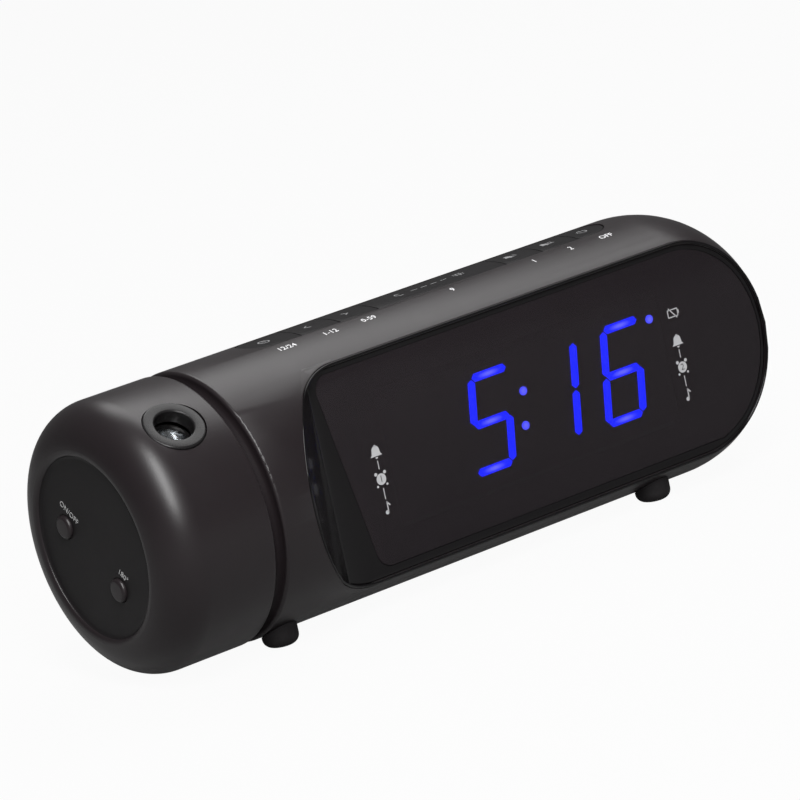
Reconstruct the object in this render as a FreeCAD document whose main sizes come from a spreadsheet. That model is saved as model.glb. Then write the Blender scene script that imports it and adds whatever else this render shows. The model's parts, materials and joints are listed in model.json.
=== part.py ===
import FreeCAD, Part

import math
import os
import re

import Sketcher

# A projection alarm clock: a fixed tube with a flat display cut into its front, and a turning
# projector head on its left end. Everything is drawn round the tube's axis, which runs along X,
# and each finished piece is then lifted by axis_height, so that the feet stand on Z = 0.
# +X runs along the tube away from the head, and -Y faces the person who reads the display.

doc = FreeCAD.newDocument("projection_alarm_clock")
sheet = doc.addObject("Spreadsheet::Sheet", "sizes")
vector = FreeCAD.Vector

# Driving dimensions, in millimetres and degrees.
SIZES = {
    # tube and head
    "body_radius": 33.0,
    "total_length": 195.0,
    "foot_clearance": 1.1,
    "wall": 2.2,
    "head_length": 28.5,
    "groove_width": 2.8,
    "end_flat_radius": 3.2,
    "head_rounding": 10.3,
    "edge_rounding": 0.9,
    "fit_gap": 0.15,
    "run_gap": 0.08,
    # display
    "display_cut": 14.1,
    "ramp_start": 8.8,
    "ramp_angle": 43.6,
    "lip": 0.8,
    "bezel_thickness": 2.3,
    "bezel_floor": 0.9,
    "window_margin": 1.0,
    "window_top_margin": 2.15,
    "window_bottom_margin": 3.15,
    "window_left_top": 24.7,
    "window_left_bottom": 33.2,
    "window_corner": 4.0,
    "light_opening_height": 34.0,
    # clock digits
    "digit_height": 22.4,
    "digit_width": 10.0,
    "segment_width": 2.3,
    "segment_gap": 0.5,
    "digit_slant": 9.5,
    "digit_drop": 0.3,
    "hour_digit_x": 68.4,
    "tens_digit_x": 89.3,
    "units_digit_x": 109.4,
    "colon_x": 83.4,
    "colon_rise": 4.1,
    "pm_dot_x": 125.3,
    "pm_dot_rise": 10.4,
    "dot_radius": 1.1,
    "segment_thickness": 0.3,
    "module_depth": 7.5,
    "module_height": 31.0,
    "module_left": 42.7,
    "module_length": 86.0,
    "display_post_z": 16.0,
    "display_post_inset": 4.5,
    "board_thickness": 1.6,
    "display_board_margin": 8.05,
    "display_board_overhang": 9.0,
    # keys
    "key_strip_start": 19.5,
    "key_strip_width": 12.6,
    "key_gap": 0.3,
    "key_drop": 0.15,
    "key_scoop": 0.35,
    "first_key": 14.0,
    "small_key": 11.4,
    "key_strip_end": 34.5,
    "last_key": 11.0,
    "key_flange_margin": 1.3,
    "key_flange_thickness": 1.4,
    "key_stem_radius": 1.6,
    "key_travel": 0.8,
    "switch_side": 6.0,
    "switch_height": 3.5,
    "switch_well": 2.4,
    "stem_entry": 0.6,
    "switch_clearance": 1.1,
    "key_board_width": 25.0,
    "key_board_overhang": 5.0,
    "post_radius": 2.4,
    "key_post_y": 10.4,
    "key_post_inset": 12.0,
    "screw_radius": 1.1,
    "screw_head_radius": 2.2,
    "screw_head_height": 1.3,
    "screw_length": 6.0,
    "screw_play": 0.06,
    # rear cover
    "cover_rise": 15.0,
    "cover_left": 9.5,
    "cover_right": 32.2,
    "cover_boss_radius": 3.1,
    "cover_boss_sink": 1.4,
    "cover_boss_inset": 6.5,
    "cover_boss_length": 5.0,
    "cover_seat": 2.0,
    # main board
    "main_board_y": 4.0,
    "main_board_left": 15.0,
    "main_board_length": 66.0,
    "main_board_gap": 0.3,
    "main_post_inset": 5.0,
    "header_length": 8.0,
    "header_height": 8.0,
    "cable_radius": 1.3,
    "chip_side": 14.0,
    "chip_height": 2.0,
    "crystal_length": 9.0,
    "crystal_width": 4.5,
    "crystal_height": 4.0,
    "crystal_rise": 12.8,
    "capacitor_radius": 4.0,
    "capacitor_length": 9.0,
    "capacitor_inset": 12.0,
    # speaker
    "speaker_from_right": 58.7,
    "speaker_radius": 19.0,
    "speaker_rim": 1.6,
    "speaker_rim_width": 2.6,
    "speaker_sink": 10.6,
    "speaker_cup_depth": 7.0,
    "speaker_cup_radius": 11.0,
    "basket_skin": 1.1,
    "basket_rim_thickness": 1.3,
    "surround_thickness": 0.55,
    "surround_width": 3.9,
    "paper_thickness": 0.35,
    "cone_neck_radius": 4.8,
    "cone_depth": 4.5,
    "magnet_radius": 10.0,
    "magnet_depth": 5.0,
    "slot_width": 1.6,
    "slot_pitch": 3.4,
    "slot_count": 9,
    # power inlet
    "inlet_x": 30.0,
    "inlet_drop": 10.0,
    "inlet_nose_radius": 4.2,
    "inlet_bore_radius": 2.75,
    "inlet_pin_radius": 1.0,
    "inlet_bore_depth": 9.0,
    "inlet_pin_sink": 1.1,
    "inlet_nose_length": 3.4,
    "inlet_block_side": 11.0,
    "inlet_block_depth": 9.0,
    "inlet_pad_side": 15.0,
    "inlet_sink": 4.0,
    # coin cell compartment
    "cell_angle": 118.0,
    "cell_x": 54.0,
    "cell_radius": 10.0,
    "cell_thickness": 3.2,
    "cell_sink": 8.05,
    "block_floor": 1.6,
    "cell_play": 0.4,
    "battery_block_length": 40.0,
    "battery_block_width": 27.0,
    "battery_block_shift": 5.5,
    "door_margin": 2.0,
    "door_thickness": 2.0,
    "door_ledge": 0.6,
    "door_screw_shift": 14.5,
    "contact_thickness": 0.4,
    "contact_radius": 6.0,
    # feet
    "foot_radius": 4.4,
    "foot_y": 12.6,
    "foot_left": 5.5,
    "foot_right": 44.1,
    "foot_rounding": 2.2,
    "foot_peg_radius": 1.8,
    # turning head
    "neck_play": 1.2,
    "neck_overlap": 1.4,
    "plate_thickness": 1.6,
    "plate_gap": 0.5,
    "spindle_radius": 9.0,
    "spindle_bore": 7.0,
    "shoulder_radius": 13.0,
    "washer_thickness": 0.8,
    "washer_radius": 14.0,
    "ring_radius": 12.0,
    "ring_thickness": 1.2,
    "ring_groove_depth": 0.8,
    "spindle_tail": 2.0,
    "stop_margin": 13.0,
    "stop_height": 4.0,
    "stop_width": 3.0,
    "stop_reach": 3.4,
    "stop_angle": 10.0,
    "head_sweep": 90.0,
    # head end cap and its buttons
    "recess_margin": 0.7,
    "recess_depth": 1.1,
    "cap_thickness": 2.0,
    "cap_flange": 1.2,
    "cap_flange_thickness": 1.2,
    "button_radius": 2.9,
    "button_play": 0.2,
    "button_rise": 1.0,
    "button_flange": 1.2,
    "button_stem_radius": 1.5,
    "button_travel": 0.7,
    "button_spread": 11.2,
    "button_drop": 3.6,
    "head_board_margin": 6.8,
    "board_post_y": 15.0,
    "board_post_drop": 12.0,
    "head_switch_height": 2.6,
    "head_switch_well": 2.0,
    # projector
    "lens_angle": 38.5,
    "lens_x": 16.5,
    "ring_outer_radius": 7.4,
    "ring_bore_radius": 4.6,
    "ring_mouth_radius": 5.6,
    "ring_chamfer": 0.7,
    "ring_sink": 0.15,
    "ring_flange_margin": 0.6,
    "ring_flange_thickness": 0.9,
    "barrel_radius": 5.4,
    "barrel_bore": 4.4,
    "barrel_length": 9.0,
    "barrel_travel": 0.8,
    "lens_radius": 5.0,
    "lens_thickness": 2.6,
    "lens_crown": 0.9,
    "tube_wall": 1.3,
    "tube_start": 5.2,
    "tube_mouth_gap": 6.8,
    "led_board_side": 11.0,
    "led_board_top": 4.9,
    "led_side": 3.5,
    "led_height": 1.2,
    "condenser_radius": 4.0,
    "condenser_start": 7.4,
    "condenser_thickness": 2.6,
    "film_start": 11.4,
    "film_thickness": 1.0,
    "bracket_width": 8.0,
}

for row, (alias, number) in enumerate(SIZES.items(), start=1):
    sheet.set(f"A{row}", alias)
    sheet.set(f"B{row}", str(number))
    sheet.setAlias(f"B{row}", alias)
doc.recompute()

# Places that follow from the driving dimensions. A name may use the names above it.
PLACES = {
    "head_tip": "-total_length / 2",
    "head_edge": "head_tip + head_length",
    "body_left": "head_edge + groove_width",
    "body_right": "total_length / 2",
    "body_length": "body_right - body_left",
    "inner_radius": "body_radius - wall",
    "axis_height": "body_radius + foot_clearance",
    "end_rounding": "body_radius - end_flat_radius",
    "far": "3 * body_radius",
    # display
    "display_depth": "body_radius - display_cut",
    "display_half": "sqrt(body_radius^2 - display_depth^2)",
    "window_top": "display_half - window_top_margin",
    "window_bottom": "display_half - window_bottom_margin",
    "ramp_foot": "body_left + ramp_start + (body_radius - display_depth) / tan(ramp_angle)",
    "bezel_back": "bezel_thickness - display_depth",
    "window_thickness": "bezel_thickness - bezel_floor",
    "module_face": "window_thickness - display_depth + fit_gap + segment_thickness",
    "module_back": "module_face + module_depth",
    "module_start": "body_left + module_left",
    "module_end": "module_start + module_length",
    "display_board_back": "module_back + board_thickness",
    "display_board_height": "2 * (display_half - display_board_margin)",
    # keys
    "strip_left": "body_left + key_strip_start",
    "strip_length": "body_length - key_strip_start - key_strip_end",
    "snooze_key": "strip_length - first_key - 4 * small_key - last_key",
    "flange_half": "key_strip_width / 2 + key_flange_margin",
    "flange_top": "sqrt(inner_radius^2 - flange_half^2) - fit_gap",
    "flange_bottom": "flange_top - key_flange_thickness",
    "switch_top": "flange_bottom - key_travel - switch_clearance",
    "key_board_top": "switch_top - switch_height",
    "main_board_height": "2 * (key_board_top - board_thickness - main_board_gap)",
    # rear cover and what it carries
    "cover_start": "body_left + cover_left",
    "cover_end": "body_right - cover_right",
    "cover_depth": "body_radius - cover_rise",
    "cover_boss_z": "sqrt(inner_radius^2 - cover_depth^2) - cover_boss_sink",
    "speaker_front": "body_radius - speaker_sink",
    "inlet_face": "body_radius - inlet_sink",
    "inlet_back": "inlet_face - inlet_nose_length",
    "inlet_block_back": "inlet_back - inlet_block_depth",
    "cell_floor": "body_radius - cell_sink",
    "main_board_start": "body_left + main_board_left",
    "main_board_back": "main_board_y + board_thickness",
    "speaker_middle": "body_right - speaker_from_right",
    "inlet_middle": "body_left + inlet_x",
    "cell_middle": "body_left + cell_x",
    # turning head
    "neck_radius": "inner_radius - neck_play",
    "stop_radius": "body_radius - stop_margin",
    "recess_radius": "body_radius - head_rounding - recess_margin",
    "head_board_radius": "inner_radius - head_board_margin",
    "neck_left": "head_edge - neck_overlap",
    "plate_right": "neck_left - plate_gap",
    "plate_left": "plate_right - plate_thickness",
    "washer_right": "body_left - run_gap",
    "washer_left": "washer_right - washer_thickness",
    "clip_left": "body_left + wall + run_gap",
    "clip_right": "clip_left + ring_thickness",
    "spindle_right": "clip_right + spindle_tail",
    "face_x": "head_tip + recess_depth",
    "cap_back": "face_x + cap_thickness",
    "button_flange_left": "cap_back + run_gap",
    "button_flange_right": "button_flange_left + cap_flange_thickness",
    "head_switch_left": "button_flange_right + button_travel + fit_gap",
    "head_board_left": "head_switch_left + head_switch_height",
    "lens_middle": "head_tip + lens_x",
    "ring_top": "body_radius - ring_sink",
    "ring_flange_radius": "ring_outer_radius + ring_flange_margin",
    "ring_flange_top": "sqrt(inner_radius^2 - ring_flange_radius^2) - fit_gap",
    "ring_bottom": "ring_flange_top - ring_flange_thickness",
    "barrel_top": "ring_bottom - barrel_travel - fit_gap",
    "barrel_bottom": "barrel_top - barrel_length",
    "tube_radius": "barrel_radius + run_gap",
    "tube_outer": "tube_radius + tube_wall",
    "tube_end": "inner_radius - tube_mouth_gap",
}

WORD = re.compile(r"[a-z_][a-z_0-9]*")
FUNCTIONS = {"sqrt", "sin", "cos", "tan"}


def formula(text):
    """The spreadsheet expression for a sum that is written with the names above."""

    def word(match):
        name = match.group(0)
        if name in PLACES:
            return "(" + formula(PLACES[name]) + ")"
        if name in FUNCTIONS:
            return name
        return "sizes." + name

    return WORD.sub(word, str(text))


def amount(text):
    """What a sum written with the names above comes to."""
    return float(sheet.evalExpression(formula(text)))


def bind(thing, **sums):
    for name, text in sums.items():
        thing.setExpression(name, formula(text))


def place(thing, x=0, y=0, z=0, axis=None, angle=0):
    """Puts a thing at x, y, z, turned about an axis by an angle."""
    if axis is not None:
        thing.Placement.Rotation = FreeCAD.Rotation(vector(*axis), 1)
        thing.setExpression("Placement.Rotation.Angle", formula(angle))
    for letter, text in zip("xyz", (x, y, z)):
        thing.setExpression("Placement.Base." + letter, formula(text))
    return thing


X_AXIS = (1, 0, 0)
Y_AXIS = (0, 1, 0)
Z_AXIS = (0, 0, 1)
ALONG = {"x": (Y_AXIS, 90), "y": (X_AXIS, -90), "z": (Z_AXIS, 0)}


def cylinder(name, radius, length, x=0, y=0, z=0, along="z"):
    thing = doc.addObject("Part::Cylinder", name)
    bind(thing, Radius=radius, Height=length)
    axis, angle = ALONG[along]
    return place(thing, x, y, z, axis, angle)


def cone(name, radius1, radius2, length, x=0, y=0, z=0, along="z"):
    thing = doc.addObject("Part::Cone", name)
    bind(thing, Radius1=radius1, Radius2=radius2, Height=length)
    axis, angle = ALONG[along]
    return place(thing, x, y, z, axis, angle)


def box(name, x, y, z):
    """A box from its three ranges, each a pair of sums."""
    thing = doc.addObject("Part::Box", name)
    bind(
        thing,
        Length=f"({x[1]}) - ({x[0]})",
        Width=f"({y[1]}) - ({y[0]})",
        Height=f"({z[1]}) - ({z[0]})",
    )
    return place(thing, x[0], y[0], z[0])


def around(middle, width):
    """The range of a width about a middle."""
    return (f"({middle}) - ({width}) / 2", f"({middle}) + ({width}) / 2")


def group(name, *things):
    thing = doc.addObject("Part::Compound", name)
    thing.Links = list(things)
    return thing


def fuse(name, *things):
    thing = doc.addObject("Part::MultiFuse", name)
    thing.Shapes = list(things)
    thing.Refine = True
    return thing


def cut(name, base, *tools):
    thing = doc.addObject("Part::Cut", name)
    thing.Base = base
    thing.Tool = tools[0] if len(tools) == 1 else fuse(name + "_tool", *tools)
    thing.Refine = True
    return thing


def common(name, first, second):
    thing = doc.addObject("Part::Common", name)
    thing.Base = first
    thing.Tool = second
    thing.Refine = True
    return thing


def tube(name, outer, inner, length, x=0, y=0, z=0, along="z"):
    return cut(
        name,
        cylinder(name + "_outer", outer, length, x, y, z, along),
        cylinder(name + "_bore", inner, length, x, y, z, along),
    )


def turned(name, thing, x=0, y=0, z=0, axis=X_AXIS, angle=0):
    """A copy of a thing in a frame of its own, which is turned and moved."""
    return place(group(name, thing), x, y, z, axis, angle)


def on_lens_axis(name, thing):
    """Stands a thing that is drawn up the Z axis on the projector's slanting lens axis."""
    return turned(name, thing, x="lens_middle", angle="lens_angle")


def capsule(name, length, inset="0", rounding="end_rounding", edge=None):
    """A solid of revolution about X: flat at x = 0 and rounded at the other end.
    inset is how far its skin lies under the tube's outer skin."""
    radius = amount(f"body_radius - ({inset})")
    guess_round = amount(f"{rounding} - ({inset})")
    guess_length = amount(length)
    body = doc.addObject("PartDesign::Body", name)
    sketch = body.newObject("Sketcher::SketchObject", name + "_profile")
    plane = next(item for item in body.Origin.OriginFeatures if item.Role == "XY_Plane")
    sketch.AttachmentSupport = [(plane, "")]
    sketch.MapMode = "FlatFace"
    corner = vector(guess_length - guess_round, radius - guess_round, 0)
    points = [
        vector(0, 0, 0),
        vector(0, radius, 0),
        vector(guess_length - guess_round, radius, 0),
        vector(guess_length, radius - guess_round, 0),
        vector(guess_length, 0, 0),
    ]
    axis_line = sketch.addGeometry(Part.LineSegment(points[4], points[0]))
    flat_end = sketch.addGeometry(Part.LineSegment(points[0], points[1]))
    side = sketch.addGeometry(Part.LineSegment(points[1], points[2]))
    circle = Part.Circle(corner, vector(0, 0, 1), guess_round)
    arc = sketch.addGeometry(Part.ArcOfCircle(circle, 0, math.pi / 2))
    nose = sketch.addGeometry(Part.LineSegment(points[3], points[4]))
    rule = Sketcher.Constraint
    start, end = 1, 2
    sketch.addConstraint(
        [
            rule("Coincident", axis_line, end, flat_end, start),
            rule("Coincident", flat_end, end, side, start),
            rule("Tangent", side, end, arc, end),
            rule("Tangent", arc, start, nose, start),
            rule("Coincident", nose, end, axis_line, start),
            rule("Coincident", flat_end, start, -1, 1),
            rule("Horizontal", axis_line),
            rule("Vertical", flat_end),
            rule("Horizontal", side),
        ]
    )
    width = sketch.addConstraint(rule("DistanceX", axis_line, end, axis_line, start, guess_length))
    height = sketch.addConstraint(rule("DistanceY", flat_end, start, flat_end, end, radius))
    bend = sketch.addConstraint(rule("Radius", arc, guess_round))
    sketch.setExpression(f"Constraints[{width}]", formula(length))
    sketch.setExpression(f"Constraints[{height}]", formula(f"body_radius - ({inset})"))
    sketch.setExpression(f"Constraints[{bend}]", formula(f"{rounding} - ({inset})"))
    turn = body.newObject("PartDesign::Revolution", name + "_turn")
    turn.Profile = sketch
    turn.ReferenceAxis = (sketch, ["H_Axis"])
    turn.Angle = 360
    if edge is None:
        return body
    doc.recompute()
    rim = [
        f"Edge{index}"
        for index, line in enumerate(turn.Shape.Edges, start=1)
        if abs(line.BoundBox.XMax) < 0.001 and line.BoundBox.YLength > radius
    ]
    fillet = body.newObject("PartDesign::Fillet", name + "_edge")
    fillet.Base = (turn, rim[:1])
    bind(fillet, Radius=edge)
    return body


pieces = []


def piece(label, *things):
    """One finished piece: it is named, lifted to its height above the table and kept."""
    thing = group(label + "_piece", *things)
    thing.Label = label
    place(thing, z="axis_height")
    pieces.append(thing)
    return thing


def inside_tube(name, inset):
    """What lies under the fixed tube's skin by an inset."""
    return place(capsule(name, f"body_length - ({inset})", inset), x="body_left")


def display_cutter(name, deeper):
    """Everything in front of the display's flat and its slanting left ramp."""
    front = box(
        name + "_front",
        ("-far", "far"),
        ("-far", f"{deeper} - display_depth"),
        ("-far", "far"),
    )
    half_space = box(name + "_half_space", (f"-({deeper})", "3 * far"), ("-far", "far"), ("-far", "far"))
    beside_ramp = turned(
        name + "_beside_ramp",
        half_space,
        x="ramp_foot",
        y="-display_depth",
        axis=Z_AXIS,
        angle="ramp_angle - 90",
    )
    return common(name, front, beside_ramp)


def screw(name, x, y, z, along, back):
    """A pan-head screw whose shank runs along an axis from its seat at x, y, z.
    back is -1 where the shank points along the axis and the head lies behind the seat, else 1."""
    shift = {"x": (1, 0, 0), "y": (0, 1, 0), "z": (0, 0, 1)}[along]
    seat = dict(zip("xyz", (x, y, z)))

    def moved(amount):
        return [f"{seat[letter]} + ({step}) * ({amount})" for letter, step in zip("xyz", shift)]

    head_from = "-screw_head_height" if back < 0 else "0"
    shank_from = "0" if back < 0 else "-screw_length"
    head = cylinder(name + "_head", "screw_head_radius", "screw_head_height", *moved(head_from), along)
    shank = cylinder(name + "_shank", "screw_radius", "screw_length", *moved(shank_from), along)
    return fuse(name, head, shank)


# Fixed tube

outer_tube = place(capsule("tube_outside", "body_length", edge="edge_rounding"), x="body_left")
inner_tube = place(capsule("tube_inside", "body_length - 2 * wall", "wall"), x="body_left + wall")
tube_shell = cut("tube_shell", outer_tube, inner_tube)
neck = tube(
    "neck",
    "neck_radius",
    "neck_radius - wall",
    "body_left - neck_left + wall / 2",
    x="neck_left",
    along="x",
)
wall_limit = cylinder("wall_limit", "inner_radius + wall / 2", "body_length", x="body_left", along="x")

stops = []
for side, turn in (("front", "head_sweep - stop_angle"), ("rear", "stop_angle - head_sweep")):
    block = box(
        f"stop_{side}_block",
        ("body_left - stop_reach", "body_left + wall / 2"),
        around("0", "stop_width"),
        ("stop_radius", "stop_radius + stop_height"),
    )
    stops.append(turned(f"stop_{side}", block, angle=turn))

key_posts = []
key_post_places = []
for side, y in (("front", "-key_post_y"), ("rear", "key_post_y")):
    for end, x in (
        ("left", "strip_left + key_post_inset"),
        ("right", "strip_left + strip_length - key_post_inset"),
    ):
        name = f"key_post_{side}_{end}"
        key_post_places.append((name, x, y))
        post = cylinder(
            name + "_rod",
            "post_radius",
            "body_radius - key_board_top",
            x,
            y,
            "key_board_top",
        )
        key_posts.append(common(name, post, wall_limit))

cover_bosses = []
cover_screw_places = []
for level, z in (("top", "cover_boss_z"), ("bottom", "-cover_boss_z")):
    for end, x in (
        ("left", "cover_start + cover_boss_inset"),
        ("right", "cover_end - cover_boss_inset"),
    ):
        name = f"cover_boss_{level}_{end}"
        cover_screw_places.append((name, x, z))
        rod = cylinder(
            name + "_rod",
            "cover_boss_radius",
            "cover_boss_length",
            x,
            "cover_depth - cover_boss_length",
            z,
            "y",
        )
        cover_bosses.append(common(name, rod, wall_limit))


def strip_outline(name, margin):
    """The keys' opening seen from above, a slot with round ends, grown by a margin."""
    half = f"(key_strip_width / 2 + {margin})"
    reach = "body_radius"
    middle = box(
        name + "_middle",
        ("strip_left + key_strip_width / 2", "strip_left + strip_length - key_strip_width / 2"),
        (f"-{half}", half),
        ("0", reach),
    )
    left = cylinder(name + "_left", half, reach, x="strip_left + key_strip_width / 2")
    right = cylinder(name + "_right", half, reach, x="strip_left + strip_length - key_strip_width / 2")
    return fuse(name, middle, left, right)


def rear_hatch(name, gap):
    """The space behind the tube that the rear cover closes."""
    return box(
        name,
        (f"cover_start + {gap}", f"cover_end - {gap}"),
        ("cover_depth", "far"),
        ("-far", "far"),
    )


foot_places = {}
for side, y in (("front", "-foot_y"), ("rear", "foot_y")):
    for end, x in (("left", "body_left + foot_left"), ("right", "body_right - foot_right")):
        foot_places[f"foot_{side}_{end}"] = (x, y)

foot_sockets = [
    cylinder(name + "_socket", "foot_peg_radius + fit_gap", "2 * body_radius", x, y, "-2 * body_radius")
    for name, (x, y) in foot_places.items()
]

screw_bores = [
    cylinder(
        name + "_bore",
        "screw_radius + screw_play",
        "screw_length - board_thickness + fit_gap",
        x,
        y,
        "key_board_top",
    )
    for name, x, y in key_post_places
]
screw_bores += [
    cylinder(
        name + "_bore",
        "screw_radius + screw_play",
        "cover_boss_length",
        x,
        "cover_depth - cover_boss_length",
        z,
        "y",
    )
    for name, x, z in cover_screw_places
]

housing_solid = fuse("housing_solid", tube_shell, neck, *stops, *key_posts, *cover_bosses)
housing = cut(
    "housing",
    housing_solid,
    display_cutter("display_space", "0"),
    common(
        "bezel_rebate",
        inside_tube("lip_inside", "lip"),
        display_cutter("bezel_space", "bezel_thickness"),
    ),
    common("key_opening", strip_outline("strip_slot", "0"), inside_tube("key_opening_limit", "-1")),
    rear_hatch("hatch", "0"),
    cylinder("spindle_bore", "spindle_radius + run_gap", "4 * wall", x="body_left - wall", along="x"),
    *foot_sockets,
    *screw_bores,
)
piece("main_housing", housing)

# Display


def window_shape(name, gap, front, back):
    """The display window grown by a gap, between two depths behind the display's flat."""
    plan = doc.addObject("Part::Wedge", name + "_plan")
    bind(
        plan,
        Xmin=f"body_left + window_left_bottom - {gap}",
        Xmax="body_right",
        X2min=f"body_left + window_left_top - {gap}",
        X2max="body_right",
        Ymin=f"-window_bottom - {gap}",
        Ymax=f"window_top + {gap}",
        Zmin=f"display_depth - ({back})",
        Zmax=f"display_depth - ({front})",
        Z2min=f"display_depth - ({back})",
        Z2max=f"display_depth - ({front})",
    )
    plan.Placement.Rotation = FreeCAD.Rotation(vector(*X_AXIS), 90)
    doc.recompute()
    corner = doc.addObject("Part::Fillet", name + "_corners")
    corner.Base = plan
    left = SIZES["window_corner"]
    corner.Edges = [
        (index, left, left)
        for index, edge in enumerate(plan.Shape.Edges, start=1)
        if edge.BoundBox.YLength > 0.5 and edge.BoundBox.XLength < 0.001 and edge.BoundBox.XMax < 0
    ]
    return common(name, corner, inside_tube(name + "_skin", f"lip + fit_gap + window_margin - {gap}"))


light_opening = box(
    "light_opening",
    ("module_start - 2 * fit_gap", "module_end + 2 * fit_gap"),
    ("-body_radius", "0"),
    around("0", "light_opening_height"),
)
display_post_places = []
for end, x in (
    ("left", "module_start - display_post_inset"),
    ("right", "module_end + display_post_inset"),
):
    for level, z in (("top", "display_post_z"), ("bottom", "-display_post_z")):
        display_post_places.append((f"display_post_{end}_{level}", x, z))
display_posts = [
    cylinder(
        name,
        "post_radius",
        "module_back - bezel_back + bezel_floor",
        x,
        "bezel_back - bezel_floor",
        z,
        "y",
    )
    for name, x, z in display_post_places
]
display_bores = [
    cylinder(
        name + "_bore",
        "screw_radius + screw_play",
        "screw_length - board_thickness + fit_gap",
        x,
        "module_back - (screw_length - board_thickness + fit_gap)",
        z,
        "y",
    )
    for name, x, z in display_post_places
]
bezel_block = common(
    "bezel_block",
    inside_tube("bezel_skin", "lip + fit_gap"),
    display_cutter("bezel_inside", "bezel_thickness - fit_gap"),
)
bezel_plate = cut("bezel_plate", bezel_block, display_cutter("bezel_outside", "0"))
bezel = cut(
    "bezel",
    fuse("bezel_with_posts", bezel_plate, *display_posts),
    window_shape("window_pocket", "fit_gap", "-wall", "window_thickness"),
    light_opening,
    *display_bores,
)
piece("display_bezel", bezel)
piece("display_window", window_shape("window", "0", "0", "window_thickness - run_gap"))

module = box(
    "module",
    ("module_start", "module_end"),
    ("module_face", "module_back - run_gap / 2"),
    around("-digit_drop", "module_height"),
)
piece("digit_module", module)

SEGMENTS = {"5": "afgcd", "1": "bc", "6": "afgecd"}
BARS = {"a": (0, 1), "g": (0, 0), "d": (0, -1)}
POSTS = {"f": (0, 1), "b": (1, 1), "e": (0, -1), "c": (1, -1)}


def segment_bar(name, start, length, width, height, angle="0"):
    """One lit bar of a digit, thin in Y, centred on a place in the digit's plane."""
    bar = box(
        name + "_bar",
        around("0", length),
        ("module_face - segment_thickness", "module_face"),
        around("0", width),
    )
    return turned(name, bar, x=start, z=height, axis=Y_AXIS, angle=angle)


def digit(number, left):
    """The lit segments of one slanting seven-segment digit, whose left column stands at left."""
    bars = []
    for letter in SEGMENTS[number]:
        name = f"segment_{number}_{letter}"
        if letter in BARS:
            level = BARS[letter][1]
            height = f"({level}) * digit_height / 2"
            bars.append(
                segment_bar(
                    name,
                    f"body_left + {left} + digit_width / 2 + {height} * tan(digit_slant)",
                    "digit_width - segment_width - 2 * segment_gap",
                    "segment_width",
                    f"{height} - digit_drop",
                )
            )
        else:
            column, level = POSTS[letter]
            height = f"({level}) * digit_height / 4"
            bars.append(
                segment_bar(
                    name,
                    f"body_left + {left} + ({column}) * digit_width + {height} * tan(digit_slant)",
                    "digit_height / 2 - segment_width / 2 - 2 * segment_gap",
                    "segment_width",
                    f"{height} - digit_drop",
                    "digit_slant - 90",
                )
            )
    return bars


def light_dot(name, x, z):
    return cylinder(name, "dot_radius", "segment_thickness", x, "module_face - segment_thickness", z, "y")


lit = digit("5", "hour_digit_x") + digit("1", "tens_digit_x") + digit("6", "units_digit_x")
for level, z in (("upper", "colon_rise"), ("lower", "-colon_rise")):
    lit.append(
        light_dot(
            f"colon_{level}",
            f"body_left + colon_x + ({z}) * tan(digit_slant)",
            f"{z} - digit_drop",
        ),
    )
lit.append(light_dot("pm_dot", "body_left + pm_dot_x", "pm_dot_rise - digit_drop"))
piece("digit_segments", *lit)

display_board = cut(
    "display_board_cut",
    box(
        "display_board_blank",
        ("module_start - display_board_overhang", "module_end + display_board_overhang"),
        ("module_back", "display_board_back"),
        around("0", "display_board_height"),
    ),
    *[
        cylinder(
            name + "_hole",
            "screw_radius + screw_play",
            "2 * wall",
            x,
            "module_back - wall / 2",
            z,
            "y",
        )
        for name, x, z in display_post_places
    ],
)
piece("display_board", display_board)
piece(
    "display_screws",
    *[screw(name + "_screw", x, "display_board_back", z, "y", 1) for name, x, z in display_post_places],
)

# Keys

KEYS = [
    ("key_clock", "first_key"),
    ("key_hour", "small_key"),
    ("key_minute", "small_key"),
    ("key_snooze", "snooze_key"),
    ("key_alarm_one", "small_key"),
    ("key_alarm_two", "small_key"),
    ("key_alarm_off", "last_key"),
]
key_start = "strip_left"
key_middles = {}
for key_name, key_length in KEYS:
    key_end = f"{key_start} + {key_length}"
    key_middle = f"{key_start} + {key_length} / 2"
    key_middles[key_name] = key_middle
    span = (f"{key_start} + key_gap / 2", f"{key_end} - key_gap / 2")
    cap_space = box(
        key_name + "_space",
        span,
        ("-body_radius", "body_radius"),
        ("flange_bottom", "body_radius"),
    )
    skin = cylinder(key_name + "_skin", "body_radius - key_drop", "body_length", x="body_left", along="x")
    cap = common(
        key_name + "_cap",
        common(key_name + "_slice", strip_outline(key_name + "_outline", "(-key_gap)"), cap_space),
        skin,
    )
    scoop_radius = f"((({key_length}) / 2)^2 + key_scoop^2) / (2 * key_scoop)"
    scoop = cylinder(
        key_name + "_scoop",
        scoop_radius,
        "2 * body_radius",
        key_middle,
        "-body_radius",
        f"body_radius - key_drop - key_scoop + {scoop_radius}",
        "y",
    )
    flange = box(
        key_name + "_flange",
        span,
        ("-flange_half", "flange_half"),
        ("flange_bottom", "flange_top"),
    )
    stem = cylinder(
        key_name + "_stem",
        "key_stem_radius",
        "flange_bottom - switch_top + stem_entry + key_flange_thickness / 2",
        key_middle,
        0,
        "switch_top - stem_entry",
    )
    piece(key_name, cut(key_name + "_shape", fuse(key_name + "_solid", cap, flange, stem), scoop))
    key_start = key_end

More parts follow.
